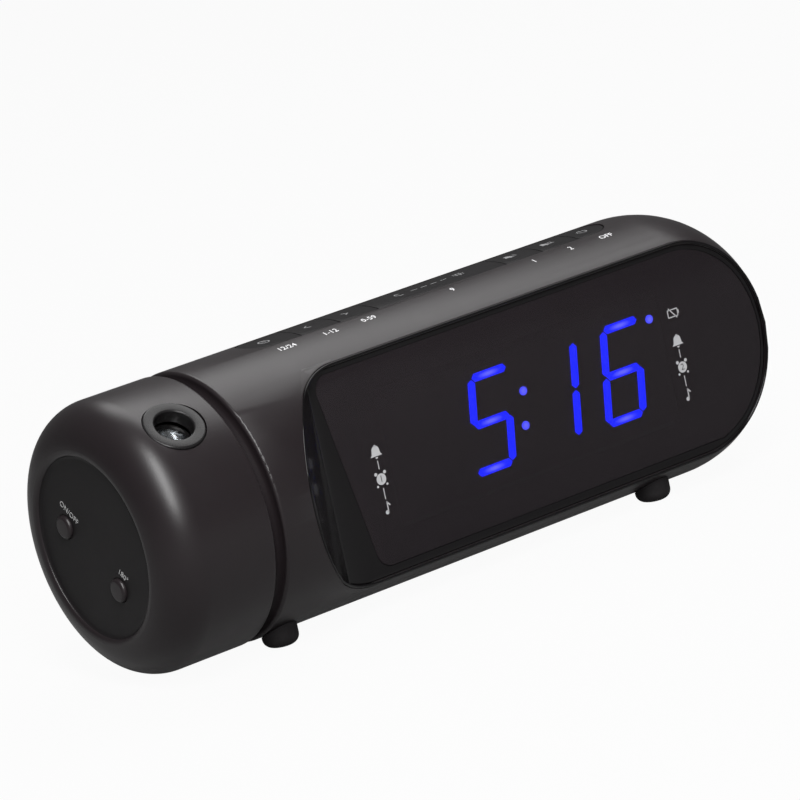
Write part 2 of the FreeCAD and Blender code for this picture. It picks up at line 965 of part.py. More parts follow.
key_board = cut(
    "key_board_cut",
    box(
        "key_board_blank",
        ("strip_left - key_board_overhang", "strip_left + strip_length + key_board_overhang"),
        around("0", "key_board_width"),
        ("key_board_top - board_thickness", "key_board_top"),
    ),
    *[
        cylinder(
            name + "_hole",
            "screw_radius + screw_play",
            "2 * wall",
            x,
            y,
            "key_board_top - 1.5 * wall",
        )
        for name, x, y in key_post_places
    ],
)
piece("key_board", key_board)
switches = []
for key_name, middle in key_middles.items():
    can = box(
        key_name + "_switch_can",
        around(middle, "switch_side"),
        around("0", "switch_side"),
        ("key_board_top", "switch_top"),
    )
    well = cylinder(
        key_name + "_switch_well",
        "key_stem_radius + fit_gap",
        "2 * switch_well",
        middle,
        0,
        "switch_top - switch_well",
    )
    switches.append(cut(key_name + "_switch", can, well))
piece("key_switches", *switches)
piece(
    "key_board_screws",
    *[
        screw(name + "_screw", x, y, "key_board_top - board_thickness", "z", -1)
        for name, x, y in key_post_places
    ],
)

# Rear cover

cover_shell = common("cover_shell", tube_shell, rear_hatch("cover_space", "fit_gap"))
cover_pads = [
    common(
        name + "_pad",
        cylinder(
            name + "_pad_rod",
            "cover_boss_radius + wall / 2",
            "body_radius",
            x,
            "cover_depth",
            z,
            "y",
        ),
        wall_limit,
    )
    for name, x, z in cover_screw_places
]
cover_seats = []
for name, x, z in cover_screw_places:
    cover_seats.append(
        cylinder(
            name + "_through",
            "screw_radius + screw_play",
            "body_radius",
            x,
            "cover_depth - wall",
            z,
            "y",
        )
    )
    cover_seats.append(
        cylinder(
            name + "_counterbore",
            "screw_head_radius + fit_gap",
            "body_radius",
            x,
            "cover_depth + cover_seat",
            z,
            "y",
        )
    )

main_post_places = []
for end, x in (
    ("left", "main_board_start + main_post_inset"),
    ("right", "main_board_start + main_board_length - main_post_inset"),
):
    for level, sign in (("top", ""), ("bottom", "-")):
        z = f"{sign}(main_board_height / 2 - main_post_inset)"
        main_post_places.append((f"main_post_{end}_{level}", x, z))
main_posts = [
    common(
        name,
        cylinder(name + "_rod", "post_radius", "body_radius", x, "main_board_back", z, "y"),
        wall_limit,
    )
    for name, x, z in main_post_places
]
main_bores = [
    cylinder(
        name + "_bore",
        "screw_radius + screw_play",
        "screw_length + fit_gap",
        x,
        "main_board_y",
        z,
        "y",
    )
    for name, x, z in main_post_places
]

speaker_boss = common(
    "speaker_boss",
    tube(
        "speaker_boss_ring",
        "speaker_radius + speaker_rim",
        "speaker_radius - speaker_rim_width",
        "body_radius",
        x="speaker_middle",
        y="speaker_front",
        along="y",
    ),
    wall_limit,
)
half_count = (int(SIZES["slot_count"]) - 1) // 2
grille = common(
    "grille",
    group(
        "grille_slots",
        *[
            box(
                f"grille_slot_{index + half_count}",
                around("speaker_middle", "2 * speaker_radius"),
                ("speaker_front", "far"),
                around(f"({index}) * slot_pitch", "slot_width"),
            )
            for index in range(-half_count, half_count + 1)
        ],
    ),
    cylinder(
        "grille_limit",
        "speaker_radius - speaker_rim_width - slot_width",
        "far",
        x="speaker_middle",
        y="speaker_front - wall",
        along="y",
    ),
)

inlet_pad = common(
    "inlet_pad",
    box(
        "inlet_pad_block",
        around("inlet_middle", "inlet_pad_side"),
        ("inlet_back", "body_radius"),
        around("-inlet_drop", "inlet_pad_side"),
    ),
    wall_limit,
)
inlet_hole = cylinder(
    "inlet_hole",
    "inlet_nose_radius + fit_gap",
    "far",
    x="inlet_middle",
    y="inlet_back - wall",
    z="-inlet_drop",
    along="y",
)


def beside_cell(name, thing):
    """Places a thing that is drawn up the Z axis in the coin cell's slanting compartment."""
    return turned(name, thing, x="cell_middle", angle="-cell_angle")


door_left = "-(cell_radius + cell_play + door_margin)"
door_right = "door_screw_shift + screw_head_radius + door_margin"
door_half = "(cell_radius + cell_play + door_margin)"
battery_block = common(
    "battery_block",
    beside_cell(
        "battery_block_turned",
        box(
            "battery_block_blank",
            around("battery_block_shift", "battery_block_length"),
            around("0", "battery_block_width"),
            ("cell_floor - block_floor", "body_radius"),
        ),
    ),
    common("battery_block_limit", wall_limit, rear_hatch("battery_block_space", "fit_gap")),
)
cell_well = beside_cell(
    "cell_well",
    cylinder("cell_well_round", "cell_radius + cell_play", "body_radius", z="cell_floor"),
)


def door_space(name, gap, clearance):
    """The battery door's curved plate, shrunk at its edges and lifted off its seat."""
    plan = box(
        name + "_plan",
        (f"{door_left} + {gap}", f"{door_right} - {gap}"),
        (f"-({door_half} - {gap})", f"{door_half} - {gap}"),
        ("0", "far"),
    )
    under = cylinder(
        name + "_under",
        f"body_radius - door_thickness + {clearance}",
        "body_length",
        x="body_left",
        along="x",
    )
    return cut(name, beside_cell(name + "_turned", plan), under)


door_screw_seat = "body_radius - door_thickness + door_ledge"
door_screw_bore = turned(
    "door_screw_bore",
    cylinder(
        "door_screw_bore_round",
        "screw_radius + screw_play",
        "body_radius",
        z=f"{door_screw_seat} - screw_length",
    ),
    x="cell_middle + door_screw_shift",
    angle="-cell_angle",
)
cover = cut(
    "cover",
    fuse("cover_solid", cover_shell, *cover_pads, *main_posts, speaker_boss, inlet_pad, battery_block),
    *cover_seats,
    *main_bores,
    grille,
    inlet_hole,
    cell_well,
    door_space("door_pocket", "0", "0"),
    door_screw_bore,
)
piece("rear_cover", cover)
piece(
    "cover_screws",
    *[
        screw(name + "_screw", x, "cover_depth + cover_seat", z, "y", 1)
        for name, x, z in cover_screw_places
    ],
)
door_plate = common("door_plate", door_space("door_blank", "fit_gap", "run_gap"), outer_tube)
door_counterbore = turned(
    "door_counterbore",
    cylinder("door_counterbore_round", "screw_head_radius + fit_gap", "body_radius", z=door_screw_seat),
    x="cell_middle + door_screw_shift",
    angle="-cell_angle",
)
piece("battery_door", cut("door", door_plate, door_counterbore, door_screw_bore))
piece(
    "battery_door_screw",
    turned(
        "door_screw_turned",
        screw("door_screw", "0", "0", door_screw_seat, "z", 1),
        x="cell_middle + door_screw_shift",
        angle="-cell_angle",
    ),
)
piece(
    "cell_contact",
    beside_cell(
        "cell_contact_turned",
        cylinder("cell_contact_round", "contact_radius", "contact_thickness", z="cell_floor"),
    ),
)
piece(
    "coin_cell",
    beside_cell(
        "coin_cell_turned",
        cylinder(
            "coin_cell_round",
            "cell_radius",
            "cell_thickness",
            z="cell_floor + contact_thickness + run_gap",
        ),
    ),
)

# Main board

main_board_end = "main_board_start + main_board_length"
main_board = cut(
    "main_board_cut",
    box(
        "main_board_blank",
        ("main_board_start", main_board_end),
        ("main_board_y", "main_board_back"),
        around("0", "main_board_height"),
    ),
    *[
        cylinder(
            name + "_hole",
            "screw_radius + screw_play",
            "2 * wall",
            x,
            "main_board_y - wall / 4",
            z,
            "y",
        )
        for name, x, z in main_post_places
    ],
)
piece("main_board", main_board)
piece(
    "main_board_screws",
    *[screw(name + "_screw", x, "main_board_y", z, "y", -1) for name, x, z in main_post_places],
)
header_start = "main_board_start + fit_gap"
piece(
    "cable_header",
    box(
        "cable_header_block",
        (header_start, f"{header_start} + header_length"),
        ("-header_height / 2", "main_board_y"),
        around("0", "header_height"),
    ),
)
chip = box(
    "chip",
    around("main_board_start + main_board_length / 2", "chip_side"),
    ("main_board_y - chip_height", "main_board_y"),
    around("0", "chip_side"),
)
crystal = box(
    "crystal",
    around("main_board_start + main_board_length / 2", "crystal_length"),
    ("main_board_y - crystal_height", "main_board_y"),
    around("crystal_rise", "crystal_width"),
)
capacitor = cylinder(
    "capacitor",
    "capacitor_radius",
    "capacitor_length",
    f"{main_board_end} - capacitor_inset",
    "main_board_y - capacitor_length",
    "0",
    "y",
)
piece("control_chip", chip)
piece("clock_crystal", crystal)
piece("smoothing_capacitor", capacitor)

# Speaker

basket_front = "speaker_front - run_gap - surround_thickness"
basket_back = "speaker_front - speaker_cup_depth"
flange_back = f"{basket_front} - basket_rim_thickness"
cup_mouth = "speaker_radius - speaker_rim"
basket_cup = cut(
    "basket_cup",
    cone(
        "basket_cup_outside",
        "speaker_cup_radius",
        cup_mouth,
        f"{flange_back} - ({basket_back})",
        "speaker_middle",
        basket_back,
        0,
        "y",
    ),
    cone(
        "basket_cup_inside",
        "speaker_cup_radius - basket_skin",
        f"{cup_mouth} - basket_skin",
        f"{flange_back} - ({basket_back}) - basket_skin",
        "speaker_middle",
        f"{basket_back} + basket_skin",
        0,
        "y",
    ),
)
basket_rim = tube(
    "basket_rim",
    "speaker_radius",
    f"{cup_mouth} - basket_skin",
    "basket_rim_thickness",
    x="speaker_middle",
    y=flange_back,
    along="y",
)
piece("speaker_basket", fuse("speaker_basket_solid", basket_cup, basket_rim))
piece(
    "speaker_magnet",
    cylinder(
        "magnet",
        "magnet_radius",
        "magnet_depth",
        "speaker_middle",
        f"{basket_back} - magnet_depth",
        0,
        "y",
    ),
)
cone_mouth = "speaker_radius - 2 * speaker_rim"
cone_back = f"{basket_front} - cone_depth"
diaphragm = cut(
    "diaphragm",
    cone(
        "diaphragm_outside",
        "cone_neck_radius",
        cone_mouth,
        "cone_depth",
        "speaker_middle",
        cone_back,
        0,
        "y",
    ),
    cone(
        "diaphragm_inside",
        "cone_neck_radius - paper_thickness",
        f"{cone_mouth} - paper_thickness",
        "cone_depth",
        "speaker_middle",
        f"{cone_back} + paper_thickness",
        0,
        "y",
    ),
)
surround = tube(
    "surround",
    "speaker_radius",
    "speaker_radius - surround_width",
    "surround_thickness",
    x="speaker_middle",
    y=basket_front,
    along="y",
)
piece("speaker_cone", fuse("speaker_cone_solid", diaphragm, surround))

# Power inlet

inlet_block = box(
    "inlet_block",
    around("inlet_middle", "inlet_block_side"),
    ("inlet_block_back", "inlet_back - run_gap"),
    around("-inlet_drop", "inlet_block_side"),
)
inlet_nose = cylinder(
    "inlet_nose",
    "inlet_nose_radius",
    "inlet_nose_length + wall",
    "inlet_middle",
    "inlet_back - wall",
    "-inlet_drop",
    "y",
)
inlet_bore = cylinder(
    "inlet_bore",
    "inlet_bore_radius",
    "2 * inlet_bore_depth",
    "inlet_middle",
    "inlet_face - inlet_bore_depth",
    "-inlet_drop",
    "y",
)
inlet_pin = cylinder(
    "inlet_pin",
    "inlet_pin_radius",
    "inlet_face - inlet_pin_sink - inlet_block_back",
    "inlet_middle",
    "inlet_block_back",
    "-inlet_drop",
    "y",
)
inlet_pin_hole = cylinder(
    "inlet_pin_hole",
    "inlet_pin_radius + run_gap",
    "2 * inlet_block_depth",
    "inlet_middle",
    "inlet_block_back - wall",
    "-inlet_drop",
    "y",
)
inlet_solid = fuse("power_inlet_solid", inlet_block, inlet_nose)
piece("power_inlet", cut("power_inlet_shell", inlet_solid, inlet_bore, inlet_pin_hole))
piece("power_inlet_pin", inlet_pin)

# Feet

for name, (x, y) in foot_places.items():
    rod = cylinder(name + "_rod", "foot_radius", "axis_height", x, y, "-axis_height")
    doc.recompute()
    bottom = [
        index
        for index, edge in enumerate(rod.Shape.Edges, start=1)
        if edge.BoundBox.ZLength < 0.001 and edge.BoundBox.ZMax < amount("-body_radius")
    ]
    rounded = doc.addObject("Part::Fillet", name + "_rounded")
    rounded.Base = rod
    rounded.Edges = [(index, SIZES["foot_rounding"], SIZES["foot_rounding"]) for index in bottom]
    outside = cylinder(name + "_seat", "body_radius + run_gap", "body_length", x="body_left", along="x")
    pad = cut(name + "_pad", rounded, outside)
    peg = common(
        name + "_peg",
        cylinder(
            name + "_peg_rod",
            "foot_peg_radius",
            "body_radius",
            x,
            y,
            "-axis_height + foot_rounding",
        ),
        tube(
            name + "_peg_limit",
            "body_radius + wall / 2",
            "inner_radius",
            "body_length",
            x="body_left",
            along="x",
        ),
    )
    piece(name, fuse(name + "_solid", pad, peg))

# Turning head

head_middle_turn = {"x": "head_edge", "axis": Z_AXIS, "angle": "180"}
head_outside = turned(
    "head_outside_turned",
    capsule("head_outside", "head_length", rounding="head_rounding", edge="edge_rounding"),
    **head_middle_turn,
)
head_inside = turned(
    "head_inside_turned",
    capsule("head_inside", "head_length - wall", "wall", rounding="head_rounding"),
    **head_middle_turn,
)
recess = cylinder("recess", "recess_radius", "2 * wall", x="head_tip - wall / 2", along="x")
ring_hole = on_lens_axis(
    "ring_hole",
    cylinder("ring_hole_round", "ring_outer_radius + fit_gap", "body_radius", z="body_radius / 2"),
)
piece("head_shell", cut("head_shell_cut", cut("head_wall", head_outside, head_inside), recess, ring_hole))

button_places = {"projection_button": "button_spread", "flip_button": "-button_spread"}


def in_head(name, thing):
    """Turns a thing with the head, so that its up is the projector's slanting axis."""
    return turned(name, thing, angle="lens_angle")


cap_disc = cylinder("cap_disc", "recess_radius - fit_gap", "cap_thickness", x="face_x", along="x")
cap_flange = cylinder(
    "cap_flange_round",
    "recess_radius + cap_flange",
    "cap_thickness + recess_depth - wall - run_gap",
    x="head_tip + wall + run_gap",
    along="x",
)
cap_holes = [
    cylinder(
        name + "_hole",
        "button_radius + button_play",
        "4 * wall",
        "head_tip - wall",
        y,
        "-button_drop",
        "x",
    )
    for name, y in button_places.items()
]
cap = cut("head_end_cap_cut", fuse("head_end_cap_solid", cap_disc, cap_flange), *cap_holes)
piece("head_end_cap", in_head("head_end_cap_turned", cap))
stem_end = "head_switch_left + stem_entry"
for name, y in button_places.items():
    rod = cylinder(
        name + "_rod",
        "button_radius",
        "button_flange_right - cap_flange_thickness / 2 - face_x",
        "face_x",
        y,
        "-button_drop",
        "x",
    )
    dome_radius = "(button_radius^2 + button_rise^2) / (2 * button_rise)"
    dome = doc.addObject("Part::Sphere", name + "_dome")
    bind(dome, Radius=dome_radius)
    place(dome, f"face_x - button_rise + {dome_radius}", y, "-button_drop")
    nose = cylinder(
        name + "_nose",
        "button_radius",
        "button_rise + cap_flange_thickness / 2",
        "face_x - button_rise",
        y,
        "-button_drop",
        "x",
    )
    flange = cylinder(
        name + "_flange",
        "button_radius + button_flange",
        "cap_flange_thickness",
        "button_flange_left",
        y,
        "-button_drop",
        "x",
    )
    stem = cylinder(
        name + "_stem",
        "button_stem_radius",
        f"{stem_end} - button_flange_left",
        "button_flange_left",
        y,
        "-button_drop",
        "x",
    )
    button = fuse(name + "_solid", common(name + "_crown", dome, nose), rod, flange, stem)
    piece(name, in_head(name + "_turned", button))

head_board_right = "head_board_left + board_thickness"
cable_hole = cylinder(
    "head_cable_hole", "cable_radius + fit_gap", "4 * wall", x="head_board_left - wall", along="x"
)
piece(
    "head_board",
    in_head(
        "head_board_turned",
        cut(
            "head_board_cut",
            cylinder(
                "head_board_round",
                "head_board_radius",
                "board_thickness",
                x="head_board_left",
                along="x",
            ),
            cable_hole,
        ),
    ),
)
head_switches = []
for name, y in button_places.items():
    can = box(
        name + "_switch_can",
        ("head_switch_left", "head_board_left"),
        around(y, "switch_side"),
        around("-button_drop", "switch_side"),
    )
    well = cylinder(
        name + "_switch_well",
        "button_stem_radius + fit_gap",
        "2 * head_switch_well",
        "head_switch_left - head_switch_well",
        y,
        "-button_drop",
        "x",
    )
    head_switches.append(in_head(name + "_switch_turned", cut(name + "_switch", can, well)))
piece("head_switches", *head_switches)

plate = cylinder("plate", "inner_radius - fit_gap", "plate_thickness", x="plate_left", along="x")
shoulder = cylinder(
    "shoulder",
    "shoulder_radius",
    "washer_left - run_gap - plate_left",
    x="plate_left",
    along="x",
)
spindle = cylinder("spindle", "spindle_radius", "spindle_right - plate_left", x="plate_left", along="x")
spindle_hollow = cylinder(
    "spindle_hollow",
    "spindle_bore",
    "2 * head_length",
    x="plate_left - wall",
    along="x",
)
clip_groove = tube(
    "clip_groove",
    "spindle_radius + wall",
    "spindle_radius - ring_groove_depth",
    "ring_thickness + run_gap",
    x="clip_left - run_gap / 2",
    along="x",
)
stop_lug = turned(
    "stop_lug",
    box(
        "stop_lug_block",
        ("plate_left", "plate_right + stop_reach"),
        around("0", "stop_width"),
        ("stop_radius", "stop_radius + stop_height"),
    ),
    angle="lens_angle + 180",
)
board_posts = [
    in_head(
        f"board_post_{side}",
        cylinder(
            f"board_post_{side}_rod",
            "post_radius",
            f"plate_left - ({head_board_right}) + plate_thickness / 2",
            head_board_right,
            y,
            "-board_post_drop",
            "x",
        ),
    )
    for side, y in (("front", "-board_post_y"), ("rear", "board_post_y"))
]
piece(
    "spindle_plate",
    cut(
        "spindle_plate_cut",
        fuse("spindle_plate_solid", plate, shoulder, spindle, stop_lug, *board_posts),
        spindle_hollow,
        clip_groove,
    ),
)
piece(
    "friction_washer",
    tube(
        "friction_washer_ring",
        "washer_radius",
        "spindle_radius + fit_gap",
        "washer_thickness",
        x="washer_left",
        along="x",
    ),
)
clip_ring = tube(
    "clip_ring",
    "ring_radius",
    "spindle_radius - ring_groove_depth + run_gap",
    "ring_thickness",
    x="clip_left",
    along="x",
)
clip_mouth = box(
    "clip_mouth",
    ("clip_left - wall", "clip_right + wall"),
    around("0", "spindle_radius"),
    ("0", "2 * ring_radius"),
)
piece("retaining_clip", cut("retaining_clip_cut", clip_ring, clip_mouth))
piece(
    "head_cable",
    cylinder(
        "head_cable_round",
        "cable_radius",
        f"{header_start} - run_gap - head_board_left",
        x="head_board_left",
        along="x",
    ),
)

# Projector, drawn up the Z axis and then stood on the lens axis

ring_body = cylinder("ring_body", "ring_outer_radius", "ring_top - ring_bottom", z="ring_bottom")
ring_rim = cone(
    "ring_rim",
    "ring_outer_radius + ring_chamfer",
    "ring_outer_radius - ring_chamfer",
    "2 * ring_chamfer",
    z="ring_top - 2 * ring_chamfer",
)
ring_round = common(
    "ring_round",
    ring_body,
    fuse(
        "ring_limit",
        cylinder(
            "ring_lower",
            "2 * ring_outer_radius",
            "ring_top - 2 * ring_chamfer - ring_bottom",
            z="ring_bottom",
        ),
        ring_rim,
    ),
)
ring_flange = cylinder("ring_flange", "ring_flange_radius", "ring_flange_thickness", z="ring_bottom")
ring_mouth = cone(
    "ring_mouth",
    "ring_bore_radius",
    "ring_mouth_radius",
    "ring_mouth_radius - ring_bore_radius",
    z="ring_top - (ring_mouth_radius - ring_bore_radius)",
)
ring_bore = cylinder("ring_bore", "ring_bore_radius", "body_radius", z="body_radius / 2")
piece(
    "focus_ring",
    on_lens_axis(
        "focus_ring_turned",
        cut("focus_ring_cut", fuse("focus_ring_solid", ring_round, ring_flange), ring_mouth, ring_bore),
    ),
)
barrel = cut(
    "barrel",
    cylinder("barrel_round", "barrel_radius", "barrel_length", z="barrel_bottom"),
    cylinder("barrel_hollow", "barrel_bore", "2 * barrel_length", z="barrel_bottom - wall"),
    cylinder(
        "lens_seat",
        "lens_radius + run_gap",
        "body_radius",
        z="barrel_top - lens_thickness - run_gap",
    ),
)
piece("lens_barrel", on_lens_axis("lens_barrel_turned", barrel))
lens_ball = "((lens_radius^2 + lens_crown^2) / (2 * lens_crown))"
lens_caps = []
for side, middle in (
    ("upper", f"barrel_top - {lens_ball}"),
    ("lower", f"barrel_top - lens_thickness + {lens_ball}"),
):
    ball = doc.addObject("Part::Sphere", f"lens_{side}_ball")
    bind(ball, Radius=lens_ball)
    lens_caps.append(place(ball, 0, 0, middle))
lens = common(
    "lens",
    common("lens_round", *lens_caps),
    cylinder("lens_edge", "lens_radius", "lens_thickness", z="barrel_top - lens_thickness"),
)
piece("projection_lens", on_lens_axis("projection_lens_turned", lens))

tube_body = cylinder("tube_body", "tube_outer", "tube_end - tube_start", z="tube_start")
bracket = box(
    "bracket",
    ("0", "plate_left - lens_middle - run_gap"),
    around("0", "bracket_width"),
    ("tube_start", "tube_end / 2"),
)
tube_bore = cylinder("tube_bore", "tube_radius", "tube_end", z="film_start + film_thickness")
light_bore = cylinder("light_bore", "condenser_radius + run_gap", "tube_end", z="tube_start - wall")
film_slot = cylinder("film_slot", "barrel_radius - run_gap", "film_thickness + run_gap", z="film_start")
piece(
    "projector_tube",
    on_lens_axis(
        "projector_tube_turned",
        cut(
            "projector_tube_cut",
            fuse("projector_tube_solid", tube_body, bracket),
            tube_bore,
            light_bore,
            film_slot,
        ),
    ),
)
piece(
    "time_film",
    on_lens_axis(
        "time_film_turned",
        cylinder(
            "time_film_round",
            "barrel_radius - 2 * run_gap",
            "film_thickness",
            z="film_start + run_gap / 2",
        ),
    ),
)
piece(
    "condenser_lens",
    on_lens_axis(
        "condenser_lens_turned",
        cylinder("condenser_lens_round", "condenser_radius", "condenser_thickness", z="condenser_start"),
    ),
)
piece(
    "projector_board",
    on_lens_axis(
        "projector_board_turned",
        box(
            "projector_board_blank",
            around("0", "led_board_side"),
            around("0", "led_board_side"),
            ("led_board_top - board_thickness", "led_board_top"),
        ),
    ),
)
piece(
    "projector_lamp",
    on_lens_axis(
        "projector_lamp_turned",
        box(
            "projector_lamp_block",
            around("0", "led_side"),
            around("0", "led_side"),
            ("led_board_top", "led_board_top + led_height"),
        ),
    ),
)

doc.recompute()

faults = [item.Name for item in doc.Objects if "Invalid" in item.State or "Error" in item.State]
faults += [item.Label for item in pieces if item.Shape.isNull() or not item.Shape.isValid()]
if faults:
    raise RuntimeError(f"these objects failed: {faults}")

os.makedirs("parts", exist_ok=True)
for item in pieces:
    item.Shape.exportStep(f"parts/{item.Label}.step")
    print(item.Label, len(item.Shape.Solids), "solids,", round(item.Shape.Volume), "mm3")
print(len(pieces), "pieces")
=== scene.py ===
import json
import math

import bmesh
import bpy
from mathutils import Matrix, Vector
from mathutils.bvhtree import BVHTree


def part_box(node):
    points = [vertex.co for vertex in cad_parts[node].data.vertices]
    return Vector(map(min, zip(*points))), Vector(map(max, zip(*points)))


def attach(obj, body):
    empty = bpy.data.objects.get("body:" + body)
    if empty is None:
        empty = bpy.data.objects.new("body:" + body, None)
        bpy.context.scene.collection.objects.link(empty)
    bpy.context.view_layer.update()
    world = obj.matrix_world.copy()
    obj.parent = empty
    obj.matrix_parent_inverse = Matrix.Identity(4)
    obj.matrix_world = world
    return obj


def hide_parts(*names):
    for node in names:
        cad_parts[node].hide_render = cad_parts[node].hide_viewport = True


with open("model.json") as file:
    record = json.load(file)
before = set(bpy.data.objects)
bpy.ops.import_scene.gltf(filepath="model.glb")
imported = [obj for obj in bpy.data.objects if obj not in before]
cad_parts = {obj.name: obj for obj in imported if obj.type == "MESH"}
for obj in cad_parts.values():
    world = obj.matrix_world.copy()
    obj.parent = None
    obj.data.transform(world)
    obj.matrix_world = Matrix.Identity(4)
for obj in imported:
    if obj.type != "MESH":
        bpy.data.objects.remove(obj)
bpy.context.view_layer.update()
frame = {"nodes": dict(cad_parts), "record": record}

bl_info = {
    "name": "Projection alarm clock",
    "version": (1, 0, 0),
    "blender": (4, 5, 0),
    "location": "3D View > Sidebar > Clock",
    "description": "Dresses the packed frame of a tube-shaped projection alarm clock",
    "category": "Object",
}

nodes = frame["nodes"]
MM = 0.001

# Places read from the frame

house_low, house_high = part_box("main_housing")
head_low, head_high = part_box("head_shell")
cap_low, cap_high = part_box("head_end_cap")
AXIS_HEIGHT = (head_low.z + head_high.z) / 2
TUBE_RADIUS = (head_high.z - head_low.z) / 2
PANEL_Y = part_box("display_window")[0].y


# Shader maths


class Wire:
    """One output socket of a node, so that shader maths reads as ordinary sums."""

    def __init__(self, paint, socket):
        self.paint = paint
        self.socket = socket

    def sum_with(self, operation, first, second):
        return self.paint.node("ShaderNodeMath", {"operation": operation}, [first, second])

    def __add__(self, other):
        return self.sum_with("ADD", self, other)

    __radd__ = __add__

    def __sub__(self, other):
        return self.sum_with("SUBTRACT", self, other)

    def __rsub__(self, other):
        return self.sum_with("SUBTRACT", other, self)

    def __mul__(self, other):
        return self.sum_with("MULTIPLY", self, other)

    __rmul__ = __mul__

class Paint:
    """A material under construction: its node tree, and one way to add a node to it."""

    def __init__(self, name):
        self.material = bpy.data.materials.new(name)
        self.material.use_nodes = True
        self.tree = self.material.node_tree
        self.tree.nodes.clear()
        self.place = self.node("ShaderNodeTexCoord", {}, {}, "Object")

    @classmethod
    def for_tree(cls, tree):
        """Starts on a node tree that isn't a material's, such as the world's."""
        paint = cls.__new__(cls)
        paint.tree = tree
        tree.nodes.clear()
        return paint

    def feed(self, socket, value):
        if isinstance(value, Wire):
            self.tree.links.new(value.socket, socket)
        elif isinstance(value, (tuple, list, Vector)):
            size = len(socket.default_value)
            socket.default_value = (tuple(value) + (1.0,))[:size]
        else:
            socket.default_value = value

    def node(self, kind, settings, inputs, output=0):
        """Adds a node: its settings first, then its inputs by name or in order."""
        made = self.tree.nodes.new(kind)
        for key, value in settings.items():
            if key == "stops":
                ramp = made.color_ramp
                for _ in range(len(value) - 2):
                    ramp.elements.new(0.5)
                for element, (position, colour) in zip(ramp.elements, value):
                    element.position = position
                    element.color = tuple(colour) + (1.0,)
            else:
                setattr(made, key, value)
        pairs = inputs.items() if isinstance(inputs, dict) else enumerate(inputs)
        for key, value in pairs:
            self.feed(made.inputs[key], value)
        return Wire(self, made.outputs[output]) if len(made.outputs) else made

    def mapped(self, scale):
        """Object coordinates, stretched by a scale along each axis."""
        return self.node("ShaderNodeMapping", {}, {"Vector": self.place, "Scale": scale})

    def noise(self, scale, detail=2.0, vector=None):
        """A cloud of soft spots, on Object coordinates unless told otherwise."""
        inputs = {"Vector": vector or self.place, "Scale": scale, "Detail": detail}
        return self.node("ShaderNodeTexNoise", {}, inputs, "Fac")

    def blend(self, factor, first, second):
        """Mixes two colours by a factor."""
        made = self.tree.nodes.new("ShaderNodeMix")
        made.data_type = "RGBA"
        self.feed(made.inputs[0], factor)
        self.feed(made.inputs[6], first)
        self.feed(made.inputs[7], second)
        return Wire(self, made.outputs[2])

    def span(self, value, low, high, new_low, new_high):
        """Stretches the range low to high of a value over a new range, clamped."""
        inputs = [value, low, high, new_low, new_high]
        return self.node("ShaderNodeMapRange", {}, inputs)

    def bump(self, height, strength, distance):
        inputs = {"Height": height, "Strength": strength, "Distance": distance}
        return self.node("ShaderNodeBump", {}, inputs)

    def surface(self, **inputs):
        """Ends the material with a Principled shader."""
        named = {key.replace("_", " "): value for key, value in inputs.items()}
        shader = self.node("ShaderNodeBsdfPrincipled", {}, named)
        return self.finish(shader)

    def finish(self, shader):
        self.node("ShaderNodeOutputMaterial", {}, {"Surface": shader})
        return self.material


def moulded_plastic(name, colour, roughness, shine=0.5):
    """Moulded plastic with a fine spark grain, a slow change of tone and a few rubbed spots."""
    paint = Paint(name)
    slow = paint.noise(28.0, 3.0)
    fine = paint.noise(2600.0, 2.0)
    rubbed = paint.span(paint.noise(90.0, 4.0), 0.55, 0.8, 0.0, 1.0)
    lighter = [min(1.0, value * 1.25 + 0.002) for value in colour]
    darker = [value * 0.9 for value in colour]
    tone = paint.blend(slow, darker, lighter)
    rough = roughness + 0.06 * (fine - 0.5) + 0.05 * (slow - 0.5) - 0.04 * rubbed
    return paint.surface(
        Base_Color=tone,
        Roughness=rough,
        Specular_IOR_Level=shine,
        Normal=paint.bump(fine, 0.12, 0.00006),
    )


def gloss_plastic(name, colour, roughness, shine):
    """Polished plastic with faint hairline scratches and a little dust in its roughness."""
    paint = Paint(name)
    hairline = paint.noise(60.0, 2.0, paint.mapped((6.0, 6.0, 140.0)))
    scratch = paint.span(hairline, 0.62, 0.68, 0.0, 1.0)
    haze = paint.noise(35.0, 4.0)
    tone = paint.blend(haze, colour, [value * 1.4 for value in colour])
    return paint.surface(
        Base_Color=tone,
        Roughness=roughness + 0.05 * haze + 0.03 * scratch,
        Specular_IOR_Level=shine,
        Normal=paint.bump(haze, 0.03, 0.0002),
    )


def smoked_acrylic(name, colour, alpha):
    """The display window: dark see-through acrylic with a soft sheen."""
    paint = Paint(name)
    haze = paint.noise(40.0, 3.0)
    return paint.surface(
        Base_Color=paint.blend(haze, colour, [value * 1.25 for value in colour]),
        Roughness=0.05 + 0.03 * haze,
        Alpha=alpha,
        Specular_IOR_Level=0.12,
    )


def lit_segment(name, colour, strength):
    """A lit bar: deep colour, with a pale heart where its UV place is near the middle."""
    paint = Paint(name)
    place = paint.node("ShaderNodeTexCoord", {}, {}, "UV")
    length = paint.node("ShaderNodeVectorMath", {"operation": "LENGTH"}, [place], "Value")
    heart = paint.span(length, 0.1, 0.85, 1.0, 0.0)
    cloud = paint.noise(600.0, 2.0)
    pale = [value * 0.55 + 0.1 for value in colour]
    return paint.surface(
        Base_Color=[value * 0.1 for value in colour],
        Roughness=0.5,
        Specular_IOR_Level=0.1,
        Emission_Color=paint.blend(heart * (0.8 + 0.2 * cloud), colour, pale),
        Emission_Strength=strength,
    )


def printed_ink(name, colour):
    """Screen-printed ink, a touch uneven."""
    paint = Paint(name)
    speckle = paint.noise(1800.0, 2.0)
    tone = paint.blend(speckle, [value * 0.88 for value in colour], colour)
    return paint.surface(Base_Color=tone, Roughness=0.5 + 0.1 * speckle)


